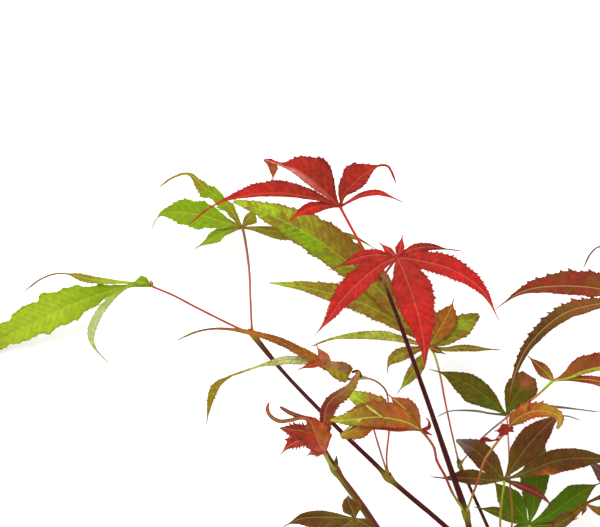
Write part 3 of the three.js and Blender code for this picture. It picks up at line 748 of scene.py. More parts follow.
class Shells:
    """Closed shells that make one mesh. Each is a run of rings, with a colour and a place at each point."""

    def __init__(self):
        self.points, self.tints, self.veins, self.places = [], [], [], []
        self.quads, self.ends = [], []
        self.count = 0

    def add(self, rings, tint, vein, place):
        rows, around = rings.shape[:2]
        index = self.count + np.arange(rows * around).reshape(rows, around)
        beside = np.roll(index, -1, axis=1)
        faces = np.stack([index[:-1], index[1:], beside[1:], beside[:-1]], axis=-1)
        self.quads.append(faces.reshape(-1, 4))
        self.ends += [index[0], index[-1][::-1]]
        stores = (self.points, self.tints, self.veins, self.places)
        for store, values in zip(stores, (rings, tint, vein, place)):
            parts = np.shape(values)[-1]
            store.append(np.broadcast_to(values, (rows, around, parts)).reshape(-1, parts))
        self.count += rows * around

    def build(self, name, material, node=None):
        """The mesh as an object that rides on the branch, and stands for a node where one is named."""
        quads = np.concatenate(self.quads)
        corners = np.concatenate([quads.ravel()] + self.ends)
        sizes = np.concatenate([np.full(len(quads), 4), [len(end) for end in self.ends]])
        mesh = bpy.data.meshes.new(name)
        mesh.vertices.add(self.count)
        points = (np.concatenate(self.points) + PLAN_TO_ORIGIN) * 0.001
        mesh.vertices.foreach_set("co", points.astype(np.float32).ravel())
        mesh.loops.add(len(corners))
        mesh.loops.foreach_set("vertex_index", corners.astype(np.int32))
        mesh.polygons.add(len(sizes))
        mesh.polygons.foreach_set("loop_start", (np.cumsum(sizes) - sizes).astype(np.int32))
        mesh.update(calc_edges=True)
        for label, values in (("tint", self.tints), ("vein_tint", self.veins)):
            layer = mesh.color_attributes.new(label, "FLOAT_COLOR", "POINT")
            shades = np.concatenate(values)
            shades = np.hstack([shades, np.ones((len(shades), 1))])[:, :4]
            layer.data.foreach_set("color", shades.astype(np.float32).ravel())
        layer = mesh.attributes.new("place", "FLOAT_VECTOR", "POINT")
        layer.data.foreach_set("vector", np.concatenate(self.places).astype(np.float32).ravel())
        mesh.shade_smooth()
        mesh.set_sharp_from_angle(angle=SHARP_ANGLE)
        mesh.materials.append(material)
        piece = bpy.data.objects.new(name, mesh)
        bpy.context.collection.objects.link(piece)
        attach(piece, "root")
        if node:
            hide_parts(node)


def tube(shells, line, radius, tint, sides):
    """A round shell along a line. Its radius holds a value for each row, or for each row and side."""
    angle = turns(sides)
    radius = radius[:, None] if radius.ndim == 1 else radius
    across = (radius * np.cos(angle))[..., None] * line.side[:, None]
    height = (radius * np.sin(angle))[..., None] * line.above[:, None]
    place = np.stack(np.broadcast_arrays(radius * angle, line.along[:, None], radius), axis=-1)
    tint = tint[:, None] if tint.ndim == 2 else tint
    shells.add(line.spots[:, None] + across + height, tint, tint, place)


# Leaves

# The columns of points across a blade, from 1 at its right margin over the rib to -1 at its left margin.
HALF_WING = np.array([1, 0.93, 0.8, 0.6, 0.35, 0.12])
WING = np.concatenate([HALF_WING, [0], -HALF_WING[::-1]])
OUT = np.abs(WING)

# The outline of a lobe. Lengths are in mm, and the rest are shares.
LOBE_ARCH = 0.05
CLOSING = 1.4  # more closes it sooner to its point
BASE_WIDTH = 0.6
SLIM_PLACES = (0, 0.3, 0.92, 1)
TIP_END = 0.4
LUMP_LENGTH = 12

# Its teeth. Their sway and their heights change over lengths given in steps from tooth to tooth.
TOOTH_RISE = 0.78  # share of a step in which a tooth rises
FINE_TOOTH = 0.4
FINE_SHIFT = 0.3
TOOTH_SWAY = 0.25
SWAY_LENGTH = 5
MEAN_TOOTH = 0.8
TOOTH_CHANGE = 0.35
CHANGE_LENGTH = 3.3
MOST_TOOTH = 0.2  # share of the half width
TEETH_BEGIN = (0.04, 0.16)  # shares of the way along the lobe
TOOTHED_WIDTHS = (0.3, 1.5)  # half widths without teeth and with full teeth, in mm
TOOTH_LEAN = 0.9
TOOTHED_FROM = 0.62  # share of the way out to the margin

# The relief of a blade: ripples of its right and left margin, thinning to the margin and the tip, puffed
# skin, and the groove of the rib. Lengths are in mm.
RIPPLE_LENGTHS = (9, 8)
THIN_MARGIN = 0.45
THIN_TIP = 0.2
FULL_RELIEF_WIDTH = 3
PUFF = 0.56
GROOVE_REACH = 0.3
FACE_GROOVE = 0.1
BACK_GROOVE = 0.32

# The colours of a blade.
RIM_FROM = 0.74
RIM_SHOW = 0.9
PATCH_REACH = 0.45

# Stalks, in mm but for the number of sides and the share of unevenness.
STALK_ROWS = 0.35
STALK_SIDES = 12
STALK_UNEVEN = 0.06
UNEVEN_LENGTH = 9
FOOT_SWELL = 0.55
FOOT_REACH = 1.7
NECK_SWELL = 0.16
NECK_REACH = 2.5
STALK_ROUNDING = 0.7


def midrib(hub, row):
    """The line along the middle of a lobe, arched a little between its ends."""
    points = np.array([row["start"][:2], *row["rib"]], float)
    run = run_along(points)
    share = run / run[-1]
    height = row["start"][2] + row["rise"] * share + 4 * LOBE_ARCH * run[-1] * share * (1 - share)
    return np.column_stack([points, height]) + hub


def half_width(row, side, share):
    """Half the width of a lobe along it: a slim base, its fullest place, and a thin point past its tail."""
    full, tail, tip = row["full"], row["tail"], row["tip"]
    opening = np.sin(np.pi / 2 * np.clip(share / full, 0, 1)) ** row["neck"]
    closing = np.cos(np.pi / 2 * np.clip((share - full) / (tail - full), 0, 1)) ** CLOSING
    slim = np.interp(share, SLIM_PLACES, [BASE_WIDTH, tip, tip, TIP_END * tip])
    return np.hypot(row[side] * np.where(share < full, opening, closing), slim)


def saw(value):
    """One tooth in each whole step of value: a slow rise and a steep fall."""
    value = value % 1
    return np.where(value < TOOTH_RISE, (value / TOOTH_RISE) ** 2, (1 - value) / (1 - TOOTH_RISE))


def teeth(along, size, pitch, chance):
    """How far the teeth of a margin stand out along a lobe: sharp teeth, each with a finer one."""
    sway = TOOTH_SWAY * waves(along, SWAY_LENGTH * pitch, chance)
    place = along / pitch + sway + chance.uniform(0, 1)
    height = MEAN_TOOTH + TOOTH_CHANGE * waves(along, CHANGE_LENGTH * pitch, chance)
    return size * (height * saw(place) + FINE_TOOTH * saw(2 * place + FINE_SHIFT))


def toothed(leaf, jag, along, half, chance):
    """How far one margin of a lobe stands out from its plain line. Small lobes have small, close teeth."""
    sizes = bpy.context.scene.maple_blade
    size = np.minimum(mm(sizes.tooth_height), MOST_TOOTH * half) * leaf["teeth"] * jag
    size = size * smooth(along / along[-1], *TEETH_BEGIN) * smooth(half, *TOOTHED_WIDTHS)
    pitch = mm(sizes.tooth_pitch) * (0.75 + 0.25 * min(half.max() / 5, 1.4)) * leaf["tooth_gap"]
    return teeth(along, size, pitch, chance) - 0.5 * size


def both_sides(right, left):
    """Values along a lobe, laid out over its columns: one run on the right half, the other on the rest."""
    return np.where(WING > 0, right[:, None], left[:, None])


def round_edge(face, back):
    """Values over the face of a blade, followed by those over its back as it returns round the edge."""
    return np.hstack([face, back[:, ::-1]])


def blade_heights(row, line, reach, from_rib, chance):
    """Heights of a lobe's face and back, with its fold, ripples, puffed skin and the groove of its rib."""
    sizes = bpy.context.scene.maple_blade
    ripple = both_sides(*[waves(line.along, length, chance) for length in RIPPLE_LENGTHS])
    relief = np.minimum(reach / FULL_RELIEF_WIDTH, 1)
    fold = sizes.fold if row["fold"] is None else row["fold"]
    height = fold * np.abs(from_rib) + row["curl"] * reach * WING**2
    height = height + mm(sizes.ripple) * ripple * relief * OUT**2.5
    between_veins = (line.along[:, None] - np.abs(from_rib)) / mm(sizes.vein_pitch)
    puffed = 0.5 - 0.5 * np.cos(2 * np.pi * between_veins)
    height = height + PUFF * relief * puffed * OUT * (1 - OUT)
    share = line.along[:, None] / line.length
    thick = 0.5 * mm(sizes.thickness) * (1 - THIN_MARGIN * OUT - THIN_TIP * share)
    groove = bump(from_rib, 0, GROOVE_REACH)
    face = height + thick - FACE_GROOVE * groove * relief
    back = height - thick - BACK_GROOVE * groove * smooth(1 - share, 0, 0.5)
    return face, back


def face_colours(leaf, row, share):
    """Colours of a lobe's face: its tones, the rim of its margins, and a stain where it has one."""
    names = row["tones"] or leaf["tones"]
    right = tones_along(names, share)[:, None]
    left = tones_along(row["left_tones"] or names, share)[:, None]
    face = np.where(WING[:, None] > 0, right, left)
    rim = RIM_SHOW * smooth(OUT, RIM_FROM, 1.0)[:, None]
    face = mixed(face, tone(row["edge"] or leaf["edge"]), rim)
    if row["patch"]:
        middle, aside, wide, name = row["patch"]
        near = bump(share, middle, wide)[:, None, None] * bump(WING, aside, PATCH_REACH)[:, None]
        face = mixed(face, tone(name), near)
    return face


def grow_lobe(shells, leaf, row, chance):
    """One lobe of a leaf: a thin blade, folded along its rib, with toothed and rippled margins."""
    line = Line(midrib(leaf["hub"], row), mm(bpy.context.scene.maple_blade.row_spacing))
    along = line.along
    share = along / line.length
    left = half_width(row, "left", share) * (1 + row["lumps"] * waves(along, LUMP_LENGTH, chance))
    right = half_width(row, "right", share) * (1 + row["lumps"] * waves(along, LUMP_LENGTH, chance))
    reach = both_sides(right, left)
    from_rib = WING * reach
    right_jag, left_jag = row["jags"]
    right_teeth = toothed(leaf, right_jag, along, right, chance)
    left_teeth = toothed(leaf, left_jag, along, left, chance)
    outward = both_sides(right_teeth, left_teeth)
    margin = smooth(OUT, TOOTHED_FROM, 1.0)
    across = from_rib + np.sign(WING) * outward * margin
    lean = TOOTH_LEAN * np.maximum(outward, 0) * margin
    level = round_edge(*blade_heights(row, line, reach, from_rib, chance))
    across, lean = round_edge(across, across), round_edge(lean, lean)
    rings = line.spots[:, None] + across[..., None] * line.side[:, None]
    rings = rings + level[..., None] * line.above[:, None] + lean[..., None] * line.travel[:, None]

    face = face_colours(leaf, row, share)
    back = mixed(face, tone(leaf["under"]), 0.5)
    rib = np.broadcast_to(tone(row["vein"] or leaf["vein"]), face.shape)
    rib_show = leaf["vein_show"] * smooth(reach, 0.25, 1.0)[..., None]
    vein = np.concatenate([rib, rib_show], axis=-1)
    place = np.stack(np.broadcast_arrays(from_rib, along[:, None], OUT), axis=-1)
    shells.add(rings, round_edge(face, back), round_edge(vein, vein), round_edge(place, place))


def grow_leaf(name, skin, stalk_skin):
    """A leaf's blade and its stalk, in place of the leaf's solid."""
    leaf = LEAVES[name]
    chance = np.random.default_rng(sum(map(ord, name)))
    blade = Shells()
    for row in leaf["lobes"]:
        grow_lobe(blade, leaf, row, chance)
    blade.build(name + "_blade", skin, name)

    stalk = Shells()
    line = Line([*leaf["stalk"], leaf["hub"]], STALK_ROWS)
    to_hub = line.length - line.along
    size = np.interp(line.share, [0, 1], leaf["stalk_sizes"])
    radius = mm(bpy.context.scene.maple_blade.stalk_radius) * size
    radius = radius * (1 + STALK_UNEVEN * waves(line.along, UNEVEN_LENGTH, chance))
    radius = radius + FOOT_SWELL * bump(line.along, 0.6, FOOT_REACH)
    radius = radius + NECK_SWELL * smooth(-to_hub, -NECK_REACH, -0.5)
    from_end = 1 - np.minimum(to_hub, STALK_ROUNDING) / STALK_ROUNDING
    radius = radius * np.sqrt(np.clip(1 - from_end**2, 0.02, 1))
    tube(stalk, line, radius, tones_along(leaf["stalk_tones"], line.share), STALK_SIDES)
    stalk.build(name + "_stalk", stalk_skin, name)


def grow_leaves(slot):
    """Every leaf of a slot, in one skin."""
    name, *looks = LEAF_SKINS[slot]
    skin = finish_named(name, leaf_finish, *looks)
    stalk_skin = finish_named("leaf stalk skin", stalk_finish)
    for name, leaf in LEAVES.items():
        if leaf["slot"] == slot:
            grow_leaf(name, skin, stalk_skin)


# Limbs

# Distances between rows, swellings, reaches and the lengths of the bark's waves are in mm. The rest are
# shares and numbers of sides.
LIMB_ROWS = 0.3
LIMB_SIDES = 40
LEAST_SWELLING = 0.12
NODE_REACH = 2.4
NODE_RINGS = ((-1.6, 1, 0.22), (-1.1, -0.8, 0.2), (1.4, 0.7, 0.25))  # place, size and reach
COLLAR = 0.45  # how much thicker a shoot is where it leaves the limb
COLLAR_REACH = 3.5
NODE_GREEN_REACH = 4.0
NODE_GREEN = 0.85
# How strongly the painted shade on the right side of a shoot shows.
SHADED_SIDE = 0.85
COARSE_BARK = 13
FINE_BARK = 8
BARK_SWAY = 17
BUD_ROWS = 0.12
BUD_SIDES = 20
BUD_FOOT = 1.0  # length of a bud inside its node
BUD_FULLNESS = 0.36  # radius for each mm of length
WIDEST_BUD = 0.9
SCALE_EDGE = 0.08

# The two rounds of scales on a bud: share at which they end, further share of their points, thickness.
BUD_SCALES = ((0.42, 0.34, 0.1), (0.62, 0.26, 0.07))

# The cut face: its radii from the bark in to the pith, and how far out each ring stands.
CUT_RADII = np.concatenate([[3.3, 3.36, 3.3], np.linspace(3.15, 0.05, 26)])
CUT_HEIGHTS = np.concatenate([[-0.8, 0.0, 0.1], np.full(26, 0.12)])
CUT_SIDES = 48


def swellings(route):
    """Radii of a limb without its nodes, and the place and size of each node along the route."""
    given = [row[3] for row in route]
    base = list(given)
    nodes = []
    for i, size in enumerate(given):
        beside = [given[k] for k in (i - 1, i + 1) if 0 <= k < len(given)]
        level = sum(beside) / len(beside)
        if i and size > level + LEAST_SWELLING:
            base[i] = level
            nodes.append((i / (len(route) - 1), size - level))
    return base, nodes


def grow_limb(shells, limb, chance, sides, collar=0.0):
    """A shoot or limb: its taper, the swellings and rings of its nodes, and the low relief of its bark."""
    sizes = bpy.context.scene.maple_bark
    route = limb["route"]
    line = Line([row[:3] for row in route], LIMB_ROWS)
    base, nodes = swellings(route)
    taper = np.interp(line.share, np.linspace(0, 1, len(route)), base)
    radius = taper * (1 + collar * np.exp(-line.along / COLLAR_REACH))
    ring = np.zeros(len(radius))
    green = np.zeros(len(radius))
    for share, extra in nodes:
        where = line.run_at(share)
        radius = radius + extra * bump(line.along, where, NODE_REACH)
        for offset, size, reach in NODE_RINGS:
            ring = ring + size * bump(line.along, where + offset, reach)
        green = np.maximum(green, bump(line.along, where, NODE_GREEN_REACH))
    angle = turns(sides)
    coarse = waves(line.along[:, None] + 2.2 * np.cos(angle + 1), COARSE_BARK, chance)
    sway = 0.5 * waves(line.along, BARK_SWAY, chance)[:, None]
    fine = np.sin(3 * angle + sway) * waves(line.along, FINE_BARK, chance)[:, None]
    relief = sizes.relief * radius[:, None] * (0.6 * coarse + 0.4 * fine)
    skin = radius[:, None] + mm(sizes.ring_height) * ring[:, None] + relief
    tint = mixed(tones_along(limb["tones"], line.share), tone("olive"), NODE_GREEN * green[:, None])
    # Painted shade: the side to the right of the limb is blended towards a darker tone.
    if "shaded_side" in limb:
        shaded_side_share = SHADED_SIDE * smooth(np.cos(angle), -0.5, 0.3)[:, None]
        tint = mixed(tint[:, None], tone(limb["shaded_side"]), shaded_side_share)
    tube(shells, line, skin, tint, sides)
    return line


def grow_cut_face(shells, line):
    """The cut end of a limb: rings of points that close in on the pith."""
    angle = -turns(CUT_SIDES)[None, :, None]
    spots = line.spots[0] - CUT_HEIGHTS[:, None] * line.travel[0]
    ring = CUT_RADII[:, None, None] * (np.cos(angle) * line.side[0] + np.sin(angle) * line.above[0])
    place = np.stack(np.broadcast_arrays(angle[..., 0], 0.0, CUT_RADII[:, None]), axis=-1)
    shells.add(spots[:, None] + ring, tone("tan"), tone("tan"), place)


def grow_bud(shells, root, bearing, tilt, length, chance):
    """A small bud of overlapping scales that stands on a node."""
    bearing, tilt = math.radians(bearing), math.radians(tilt)
    flat = math.cos(tilt)
    ahead = np.array([flat * math.cos(bearing), flat * math.sin(bearing), math.sin(tilt)])
    start = np.array(root, float)
    line = Line([start, start + ahead * (length + BUD_FOOT)], BUD_ROWS)
    share = line.share[:, None]
    angle = turns(BUD_SIDES) + chance.uniform(0, 3)
    body = min(BUD_FULLNESS * length, WIDEST_BUD) * np.sin(np.pi * np.clip(share, 0, 1) ** 0.8) ** 0.8
    body = body * (1 - 0.25 * share) + 0.02
    sleeve = 0
    for (end, point, thickness), wave in zip(BUD_SCALES, (np.cos(angle), np.sin(angle))):
        edge = end + point * np.abs(wave)
        sleeve = sleeve + thickness * smooth(edge - share, 0, SCALE_EDGE)
    radius = body + sleeve * smooth(1 - share, 0, 0.3)
    tint = tones_along("olive bark_brown brown", line.share)[:, None] * (0.8 + 2.0 * sleeve[..., None])
    tube(shells, line, radius, tint, BUD_SIDES)


# Materials

# Scales count cells in a metre. The widths of ribs, veins and the pith are in mm, from where they show
# fully to where they end. A relief is a strength and a depth in metres. A shine is how strongly a
# surface reflects like a mirror.
RIB_WIDTHS = (0.08, 0.26)
RIB_SHOW = 0.55
VEIN_WIDTHS = (0.03, 0.18)
VEIN_SHOW = 0.16
VEIN_FADES = (0.55, 0.98)  # shares of the way out to the margin
MOST_VEIN = 0.95
NET_SCALE = 1100.0
NET_WIDTH = 0.16  # share of a cell
NET_SHOW = 0.05
CLOUD_SCALE = 420.0
BLOTCH_SCALE = 110.0
BLOTCH_STEP = (0.94, 1.2)  # sums of two noises, where a blotch begins and is full
HALVES_APART = 7.0  # so that the halves of a lobe have blotches of their own
LEAF_RELIEF = (0.55, 0.00022)
LEAF_SHINE = 0.06
STALK_RELIEF = (0.3, 0.00012)
STALK_SHINE = 0.2
PORE_SCALE = 420.0
PORE_SHOW = 0.35
BLOOM_SCALE = 170.0
BLOOM_SHOW = 0.03
BARK_SHINE = 0.1
WOOD_SCALE = 300.0
RING_GAP = 0.45  # half the distance between two growth rings, in mm
PITH_WIDTHS = (0.35, 0.6)
WOOD_RELIEF = (0.4, 0.0002)
WOOD_SHINE = 0.5
FLOOR_SCALE = 40.0
FLOOR_SHINE = 0.1


class Finish:
    """A material under construction, with short ways to add and join its nodes."""

    def __init__(self, name):
        self.material = bpy.data.materials.new(name)
        self.material.use_nodes = True
        self.tree = self.material.node_tree
        self.tree.nodes.clear()
        output = self.tree.nodes.new("ShaderNodeOutputMaterial")
        self.surface = self.tree.nodes.new("ShaderNodeBsdfPrincipled")
        self.tree.links.new(self.surface.outputs["BSDF"], output.inputs["Surface"])
        self.object_place = self.node("ShaderNodeTexCoord").outputs["Object"]

    def node(self, kind, inputs=None, **settings):
        made = self.tree.nodes.new(kind)
        for key, value in settings.items():
            setattr(made, key, value)
        for key, value in (inputs or {}).items():
            self.join(value, made.inputs[key])
        return made

    def join(self, value, socket):
        if isinstance(value, bpy.types.NodeSocket):
            self.tree.links.new(value, socket)
        else:
            socket.default_value = value

    def math(self, operation, first, second=0.0):
        return self.node("ShaderNodeMath", {0: first, 1: second}, operation=operation).outputs[0]

    def times(self, first, second):
        return self.math("MULTIPLY", first, second)

    def spread(self, value, low, high, new_low=0.0, new_high=1.0):
        inputs = {0: value, 1: low, 2: high, 3: new_low, 4: new_high}
        return self.node("ShaderNodeMapRange", inputs, interpolation_type="SMOOTHSTEP").outputs[0]

    def blend(self, share, first, second, way="MIX"):
        made = self.node("ShaderNodeMix", data_type="RGBA", blend_type=way)
        self.join(share, made.inputs[0])
        self.join(first, made.inputs[6])
        self.join(second, made.inputs[7])
        return made.outputs[2]

    def noise(self, scale, detail=3.0, vector=None, rough=0.5):
        where = vector or self.object_place
        inputs = {"Vector": where, "Scale": scale, "Detail": detail, "Roughness": rough}
        return self.node("ShaderNodeTexNoise", inputs).outputs[0]

    def cells(self, scale, feature):
        inputs = {"Vector": self.object_place, "Scale": scale}
        return self.node("ShaderNodeTexVoronoi", inputs, feature=feature).outputs[0]

    def layer(self, name, output="Color"):
        return self.node("ShaderNodeAttribute", attribute_name=name).outputs[output]

    def place(self):
        """Where a point lies on its piece: across it, along it, and how far out."""
        return self.node("ShaderNodeSeparateXYZ", {0: self.layer("place", "Vector")}).outputs

    def stretched(self, scale):
        """The place on the piece, drawn out along it."""
        return self.node("ShaderNodeMapping", {0: self.layer("place", "Vector"), 3: scale}).outputs[0]

    def tinted(self, level):
        """The tints of the mesh, each at a level."""
        return self.blend(1.0, self.layer("tint"), level, "MULTIPLY")

    def relief(self, height, strength, depth):
        made = self.node("ShaderNodeBump", {"Strength": strength, "Distance": depth, "Height": height})
        self.join(made.outputs[0], self.surface.inputs["Normal"])

    def finished(self, colour, roughness, shine):
        """The material, with the colour, roughness and shine of its surface."""
        self.join(colour, self.surface.inputs["Base Color"])
        self.join(roughness, self.surface.inputs["Roughness"])
        self.surface.inputs["Specular IOR Level"].default_value = shine
        return self.material


def finish_named(name, make, *settings):
    """The material of that name, made the first time that it is asked for."""
    return bpy.data.materials.get(name) or make(name, *settings)


def opaque(colour):
    return (*colour, 1.0)


def leaf_finish(name, blotch, blotch_share, gloss, mottle_and_shade):
    """Leaf skin: the tints of its lobes with blotches and painted shade beside the side veins, a rib, side
    veins and a fine net between them.
    """
    finish = Finish(name)
    across, along, outward = finish.place()
    aside = finish.math("ABSOLUTE", across)
    pitch = mm(bpy.context.scene.maple_blade.vein_pitch)
    way = finish.math("SUBTRACT", along, aside)
    to_vein = finish.math("PINGPONG", way, pitch / 2)
    rib = finish.spread(aside, *RIB_WIDTHS, 1.0, 0.0)
    side_vein = finish.spread(to_vein, *VEIN_WIDTHS, 1.0, 0.0)
    side_vein = finish.times(side_vein, finish.spread(outward, *VEIN_FADES, 1.0, 0.15))
    net = finish.spread(finish.cells(NET_SCALE, "DISTANCE_TO_EDGE"), 0.0, NET_WIDTH, 1.0, 0.0)
    cloud = finish.noise(CLOUD_SCALE, 5.0, rough=0.62)

    # Blotches run along the side veins, and differ on the two halves of a lobe.
    half = finish.times(finish.math("SIGN", across), HALVES_APART)
    streams = {0: finish.times(way, 0.5), 1: finish.times(aside, 0.16), 2: half}
    run = finish.node("ShaderNodeCombineXYZ", streams).outputs[0]
    patch = finish.math("ADD", finish.noise(1.0, 4.0, run, 0.6), finish.noise(BLOTCH_SCALE, 3.0, rough=0.6))
    patch = finish.spread(patch, *BLOTCH_STEP)

    # Painted shade: the skin is darker right beside each side vein and a little lighter between them,
    # standing in for shade in the grooves of the puffed blade.
    between = finish.spread(to_vein, 0.0, pitch * 0.4, 1 - 0.1 * mottle_and_shade, 1 + 0.08 * mottle_and_shade)
    # The grain is the cloudy mottling, multiplied by that painted shade beside the veins.
    grain = finish.times(finish.spread(cloud, 0.25, 0.75, 1 - 0.34 * mottle_and_shade, 1 + 0.3 * mottle_and_shade), between)
    skin = finish.blend(finish.times(patch, blotch_share), finish.tinted(grain), opaque(tone(blotch)))
    veins = finish.math("MAXIMUM", finish.times(rib, RIB_SHOW), finish.times(side_vein, VEIN_SHOW))
    veins = finish.math("MAXIMUM", veins, finish.times(net, NET_SHOW))
    veins = finish.math("MINIMUM", finish.times(veins, finish.layer("vein_tint", "Alpha")), MOST_VEIN)
    raised = finish.math("SUBTRACT", cloud, finish.times(side_vein, 0.9))
    finish.relief(finish.math("SUBTRACT", raised, finish.times(net, 0.35)), *LEAF_RELIEF)
    colour = finish.blend(veins, skin, finish.layer("vein_tint"))
    return finish.finished(colour, finish.spread(cloud, 0.3, 0.7, gloss, gloss + 0.18), LEAF_SHINE)


def stalk_finish(name):
    """Skin of the leaf stalks: smooth, a little streaked."""
    finish = Finish(name)
    streaks = finish.noise(1.0, 4.0, finish.stretched((1.6, 0.12, 0.4)))
    finish.relief(streaks, *STALK_RELIEF)
    colour = finish.tinted(finish.spread(streaks, 0.25, 0.75, 0.78, 1.2))
    return finish.finished(colour, finish.spread(streaks, 0.3, 0.7, 0.38, 0.52), STALK_SHINE)


def bark_finish(name, age):
    """Young bark: long streaks, small pale pores and a faint waxy bloom. More age gives more relief."""
    finish = Finish(name)
    streaks = finish.noise(1.0, 5.0, finish.stretched((1.1, 0.1, 0.3)), 0.6)
    bloom = finish.spread(finish.noise(BLOOM_SCALE, 4.0), 0.5, 0.72)
    pores = finish.spread(finish.cells(PORE_SCALE, "F1"), 0.1, 0.2, 1.0, 0.0)
    pores = finish.times(pores, finish.spread(streaks, 0.45, 0.6))
    skin = finish.tinted(finish.spread(streaks, 0.25, 0.75, 0.66, 1.3))
    skin = finish.blend(finish.times(bloom, BLOOM_SHOW), skin, opaque(tone("grey_violet")))
    skin = finish.blend(finish.times(pores, PORE_SHOW), skin, opaque(tone("tan")))
    height = finish.math("ADD", streaks, finish.times(pores, 0.7))
    finish.relief(height, 0.4 + 0.3 * age, 0.0002 + 0.0003 * age)
    return finish.finished(skin, finish.spread(streaks, 0.3, 0.7, 0.3, 0.5), BARK_SHINE)


def cut_wood_finish(name):
    """The cut face of the limb: pale wood with growth rings, fine rays and a brown pith."""
    finish = Finish(name)
    outward = finish.place()[2]
    wander = finish.times(finish.noise(WOOD_SCALE, 3.0), 0.35)
    rings = finish.math("PINGPONG", finish.math("ADD", outward, wander), RING_GAP)
    rings = finish.spread(rings, 0.0, 0.3, 1.0, 0.0)
    rays = finish.noise(2.6, 3.0, finish.stretched((4.0, 0.2, 0.2)))
    wood = finish.blend(finish.times(rings, 0.5), opaque(tone("tan") * 1.5), opaque(tone("brown")))
    wood = finish.blend(finish.spread(rays, 0.3, 0.7, 0.0, 0.35), wood, opaque(tone("pale_green")))
    wood = finish.blend(finish.spread(outward, *PITH_WIDTHS, 1.0, 0.0), wood, opaque(tone("brown")))
    finish.relief(finish.math("ADD", rings, rays), *WOOD_RELIEF)
    return finish.finished(wood, finish.spread(rays, 0.2, 0.8, 0.6, 0.8), WOOD_SHINE)


def floor_finish(name):
    """A plain pale surface with the faintest tooth."""
    finish = Finish(name)
    shade = np.array(bpy.context.scene.maple_stage.floor_colour)
    grain = finish.noise(FLOOR_SCALE, 3.0)
    colour = finish.blend(finish.spread(grain, 0.3, 0.7), opaque(shade * 0.985), opaque(shade))
    return finish.finished(colour, finish.spread(grain, 0.3, 0.7, 0.85, 0.95), FLOOR_SHINE)


def bark_for(slot):
    name, age = BARKS[slot]
    return finish_named(name, bark_finish, age)


# Settings


class MapleTones(bpy.types.PropertyGroup):
    """Colours of the leaves, stalks and bark."""


for label, shade in TONES.items():
    MapleTones.__annotations__[label] = FloatVectorProperty(
        name=label.replace("_", " ").capitalize(),
        description="Colour used where the tables say " + label.replace("_", " "),
        subtype="COLOR_GAMMA",
        size=3,
        min=0.0,
        max=1.0,
        default=shade,
    )


class MapleBlade(bpy.types.PropertyGroup):
    """Sizes of the leaf blades and stalks."""

    thickness: FloatProperty(
        name="Blade thickness", description="Thickness of a leaf",
        default=0.00026, unit="LENGTH", precision=5)
    fold: FloatProperty(
        name="Fold", description="How steeply both halves of a lobe rise from its rib", default=0.22)
    ripple: FloatProperty(
        name="Ripple", description="Height of the waves along a margin",
        default=0.00038, unit="LENGTH", precision=5)
    tooth_height: FloatProperty(
        name="Tooth height", description="Most that a tooth stands out",
        default=0.00085, unit="LENGTH", precision=5)
    tooth_pitch: FloatProperty(
        name="Tooth pitch", description="Distance between two coarse teeth",
        default=0.0018, unit="LENGTH", precision=5)
    vein_pitch: FloatProperty(
        name="Vein pitch", description="Distance between two side veins",
        default=0.0031, unit="LENGTH", precision=5)
    row_spacing: FloatProperty(
        name="Row spacing", description="Distance between rows of faces",
        default=0.00024, unit="LENGTH", precision=5)
    stalk_radius: FloatProperty(
        name="Stalk radius", description="Radius of a leaf stalk",
        default=0.00056, unit="LENGTH", precision=5)


class MapleBark(bpy.types.PropertyGroup):
    """Sizes of the bark."""

    relief: FloatProperty(
        name="Relief", description="Height of the bark's unevenness as a share of its radius",
        default=0.04)
    ring_height: FloatProperty(
        name="Ring height", description="Height of the rings at a node",
        default=0.00013, unit="LENGTH", precision=5)
    sides: IntProperty(name="Sides", description="Faces around a shoot", default=28, min=8, max=64)


class MapleStage(bpy.types.PropertyGroup):
    """Floor, light and camera."""

    floor_colour: FloatVectorProperty(
        name="Floor", description="Colour of the floor", subtype="COLOR", size=3,
        default=(0.94, 0.94, 0.94))
    daylight: FloatProperty(
        name="Daylight", description="Strength of the light from all round", default=1.2)
    lamp_power: FloatProperty(
        name="Lamp", description="Power of the large soft lamp", default=46.0, unit="POWER")
    camera_distance: FloatProperty(
        name="Camera distance", description="Distance from the camera to the leaves",
        default=3.0, unit="LENGTH")


# Operators

LIMB_SEED = 5
SHOOT_SEED = 20
BUD_SEED = 40

# The stage, in metres, and the width of the camera's sensor in mm.
FLOOR_SIZE = 30
LEAF_LEVEL = 0.06
LAMP_SIZE = 1.6
LAMP_PLACE = (-0.7, 0.9, 1.6)
SENSOR_WIDTH = 36.0
VIEW_END = 60.0


class MAPLE_OT_main_limb(bpy.types.Operator):
    """Build the main limb and its cut end"""

    bl_idname = "maple.main_limb"
    bl_label = "Main limb"

    def execute(self, context):
        limb = Shells()
        line = grow_limb(limb, MAIN_LIMB, np.random.default_rng(LIMB_SEED), LIMB_SIDES)
        limb.build("main_limb_bark", bark_for("bark_brown"), "main_limb")
        face = Shells()
        grow_cut_face(face, line)
        wood = finish_named("cut wood", cut_wood_finish)
        face.build("main_limb_cut_face", wood, "main_limb")
        return {"FINISHED"}


class MAPLE_OT_shoots(bpy.types.Operator):
    """Build the five shoots"""

    bl_idname = "maple.shoots"
    bl_label = "Shoots"

    def execute(self, context):
        for i, (name, shoot) in enumerate(SHOOTS.items()):
            shells = Shells()
            chance = np.random.default_rng(SHOOT_SEED + i)
            grow_limb(shells, shoot, chance, context.scene.maple_bark.sides, COLLAR)
            shells.build(name + "_bark", bark_for(shoot["slot"]), name)
        return {"FINISHED"}


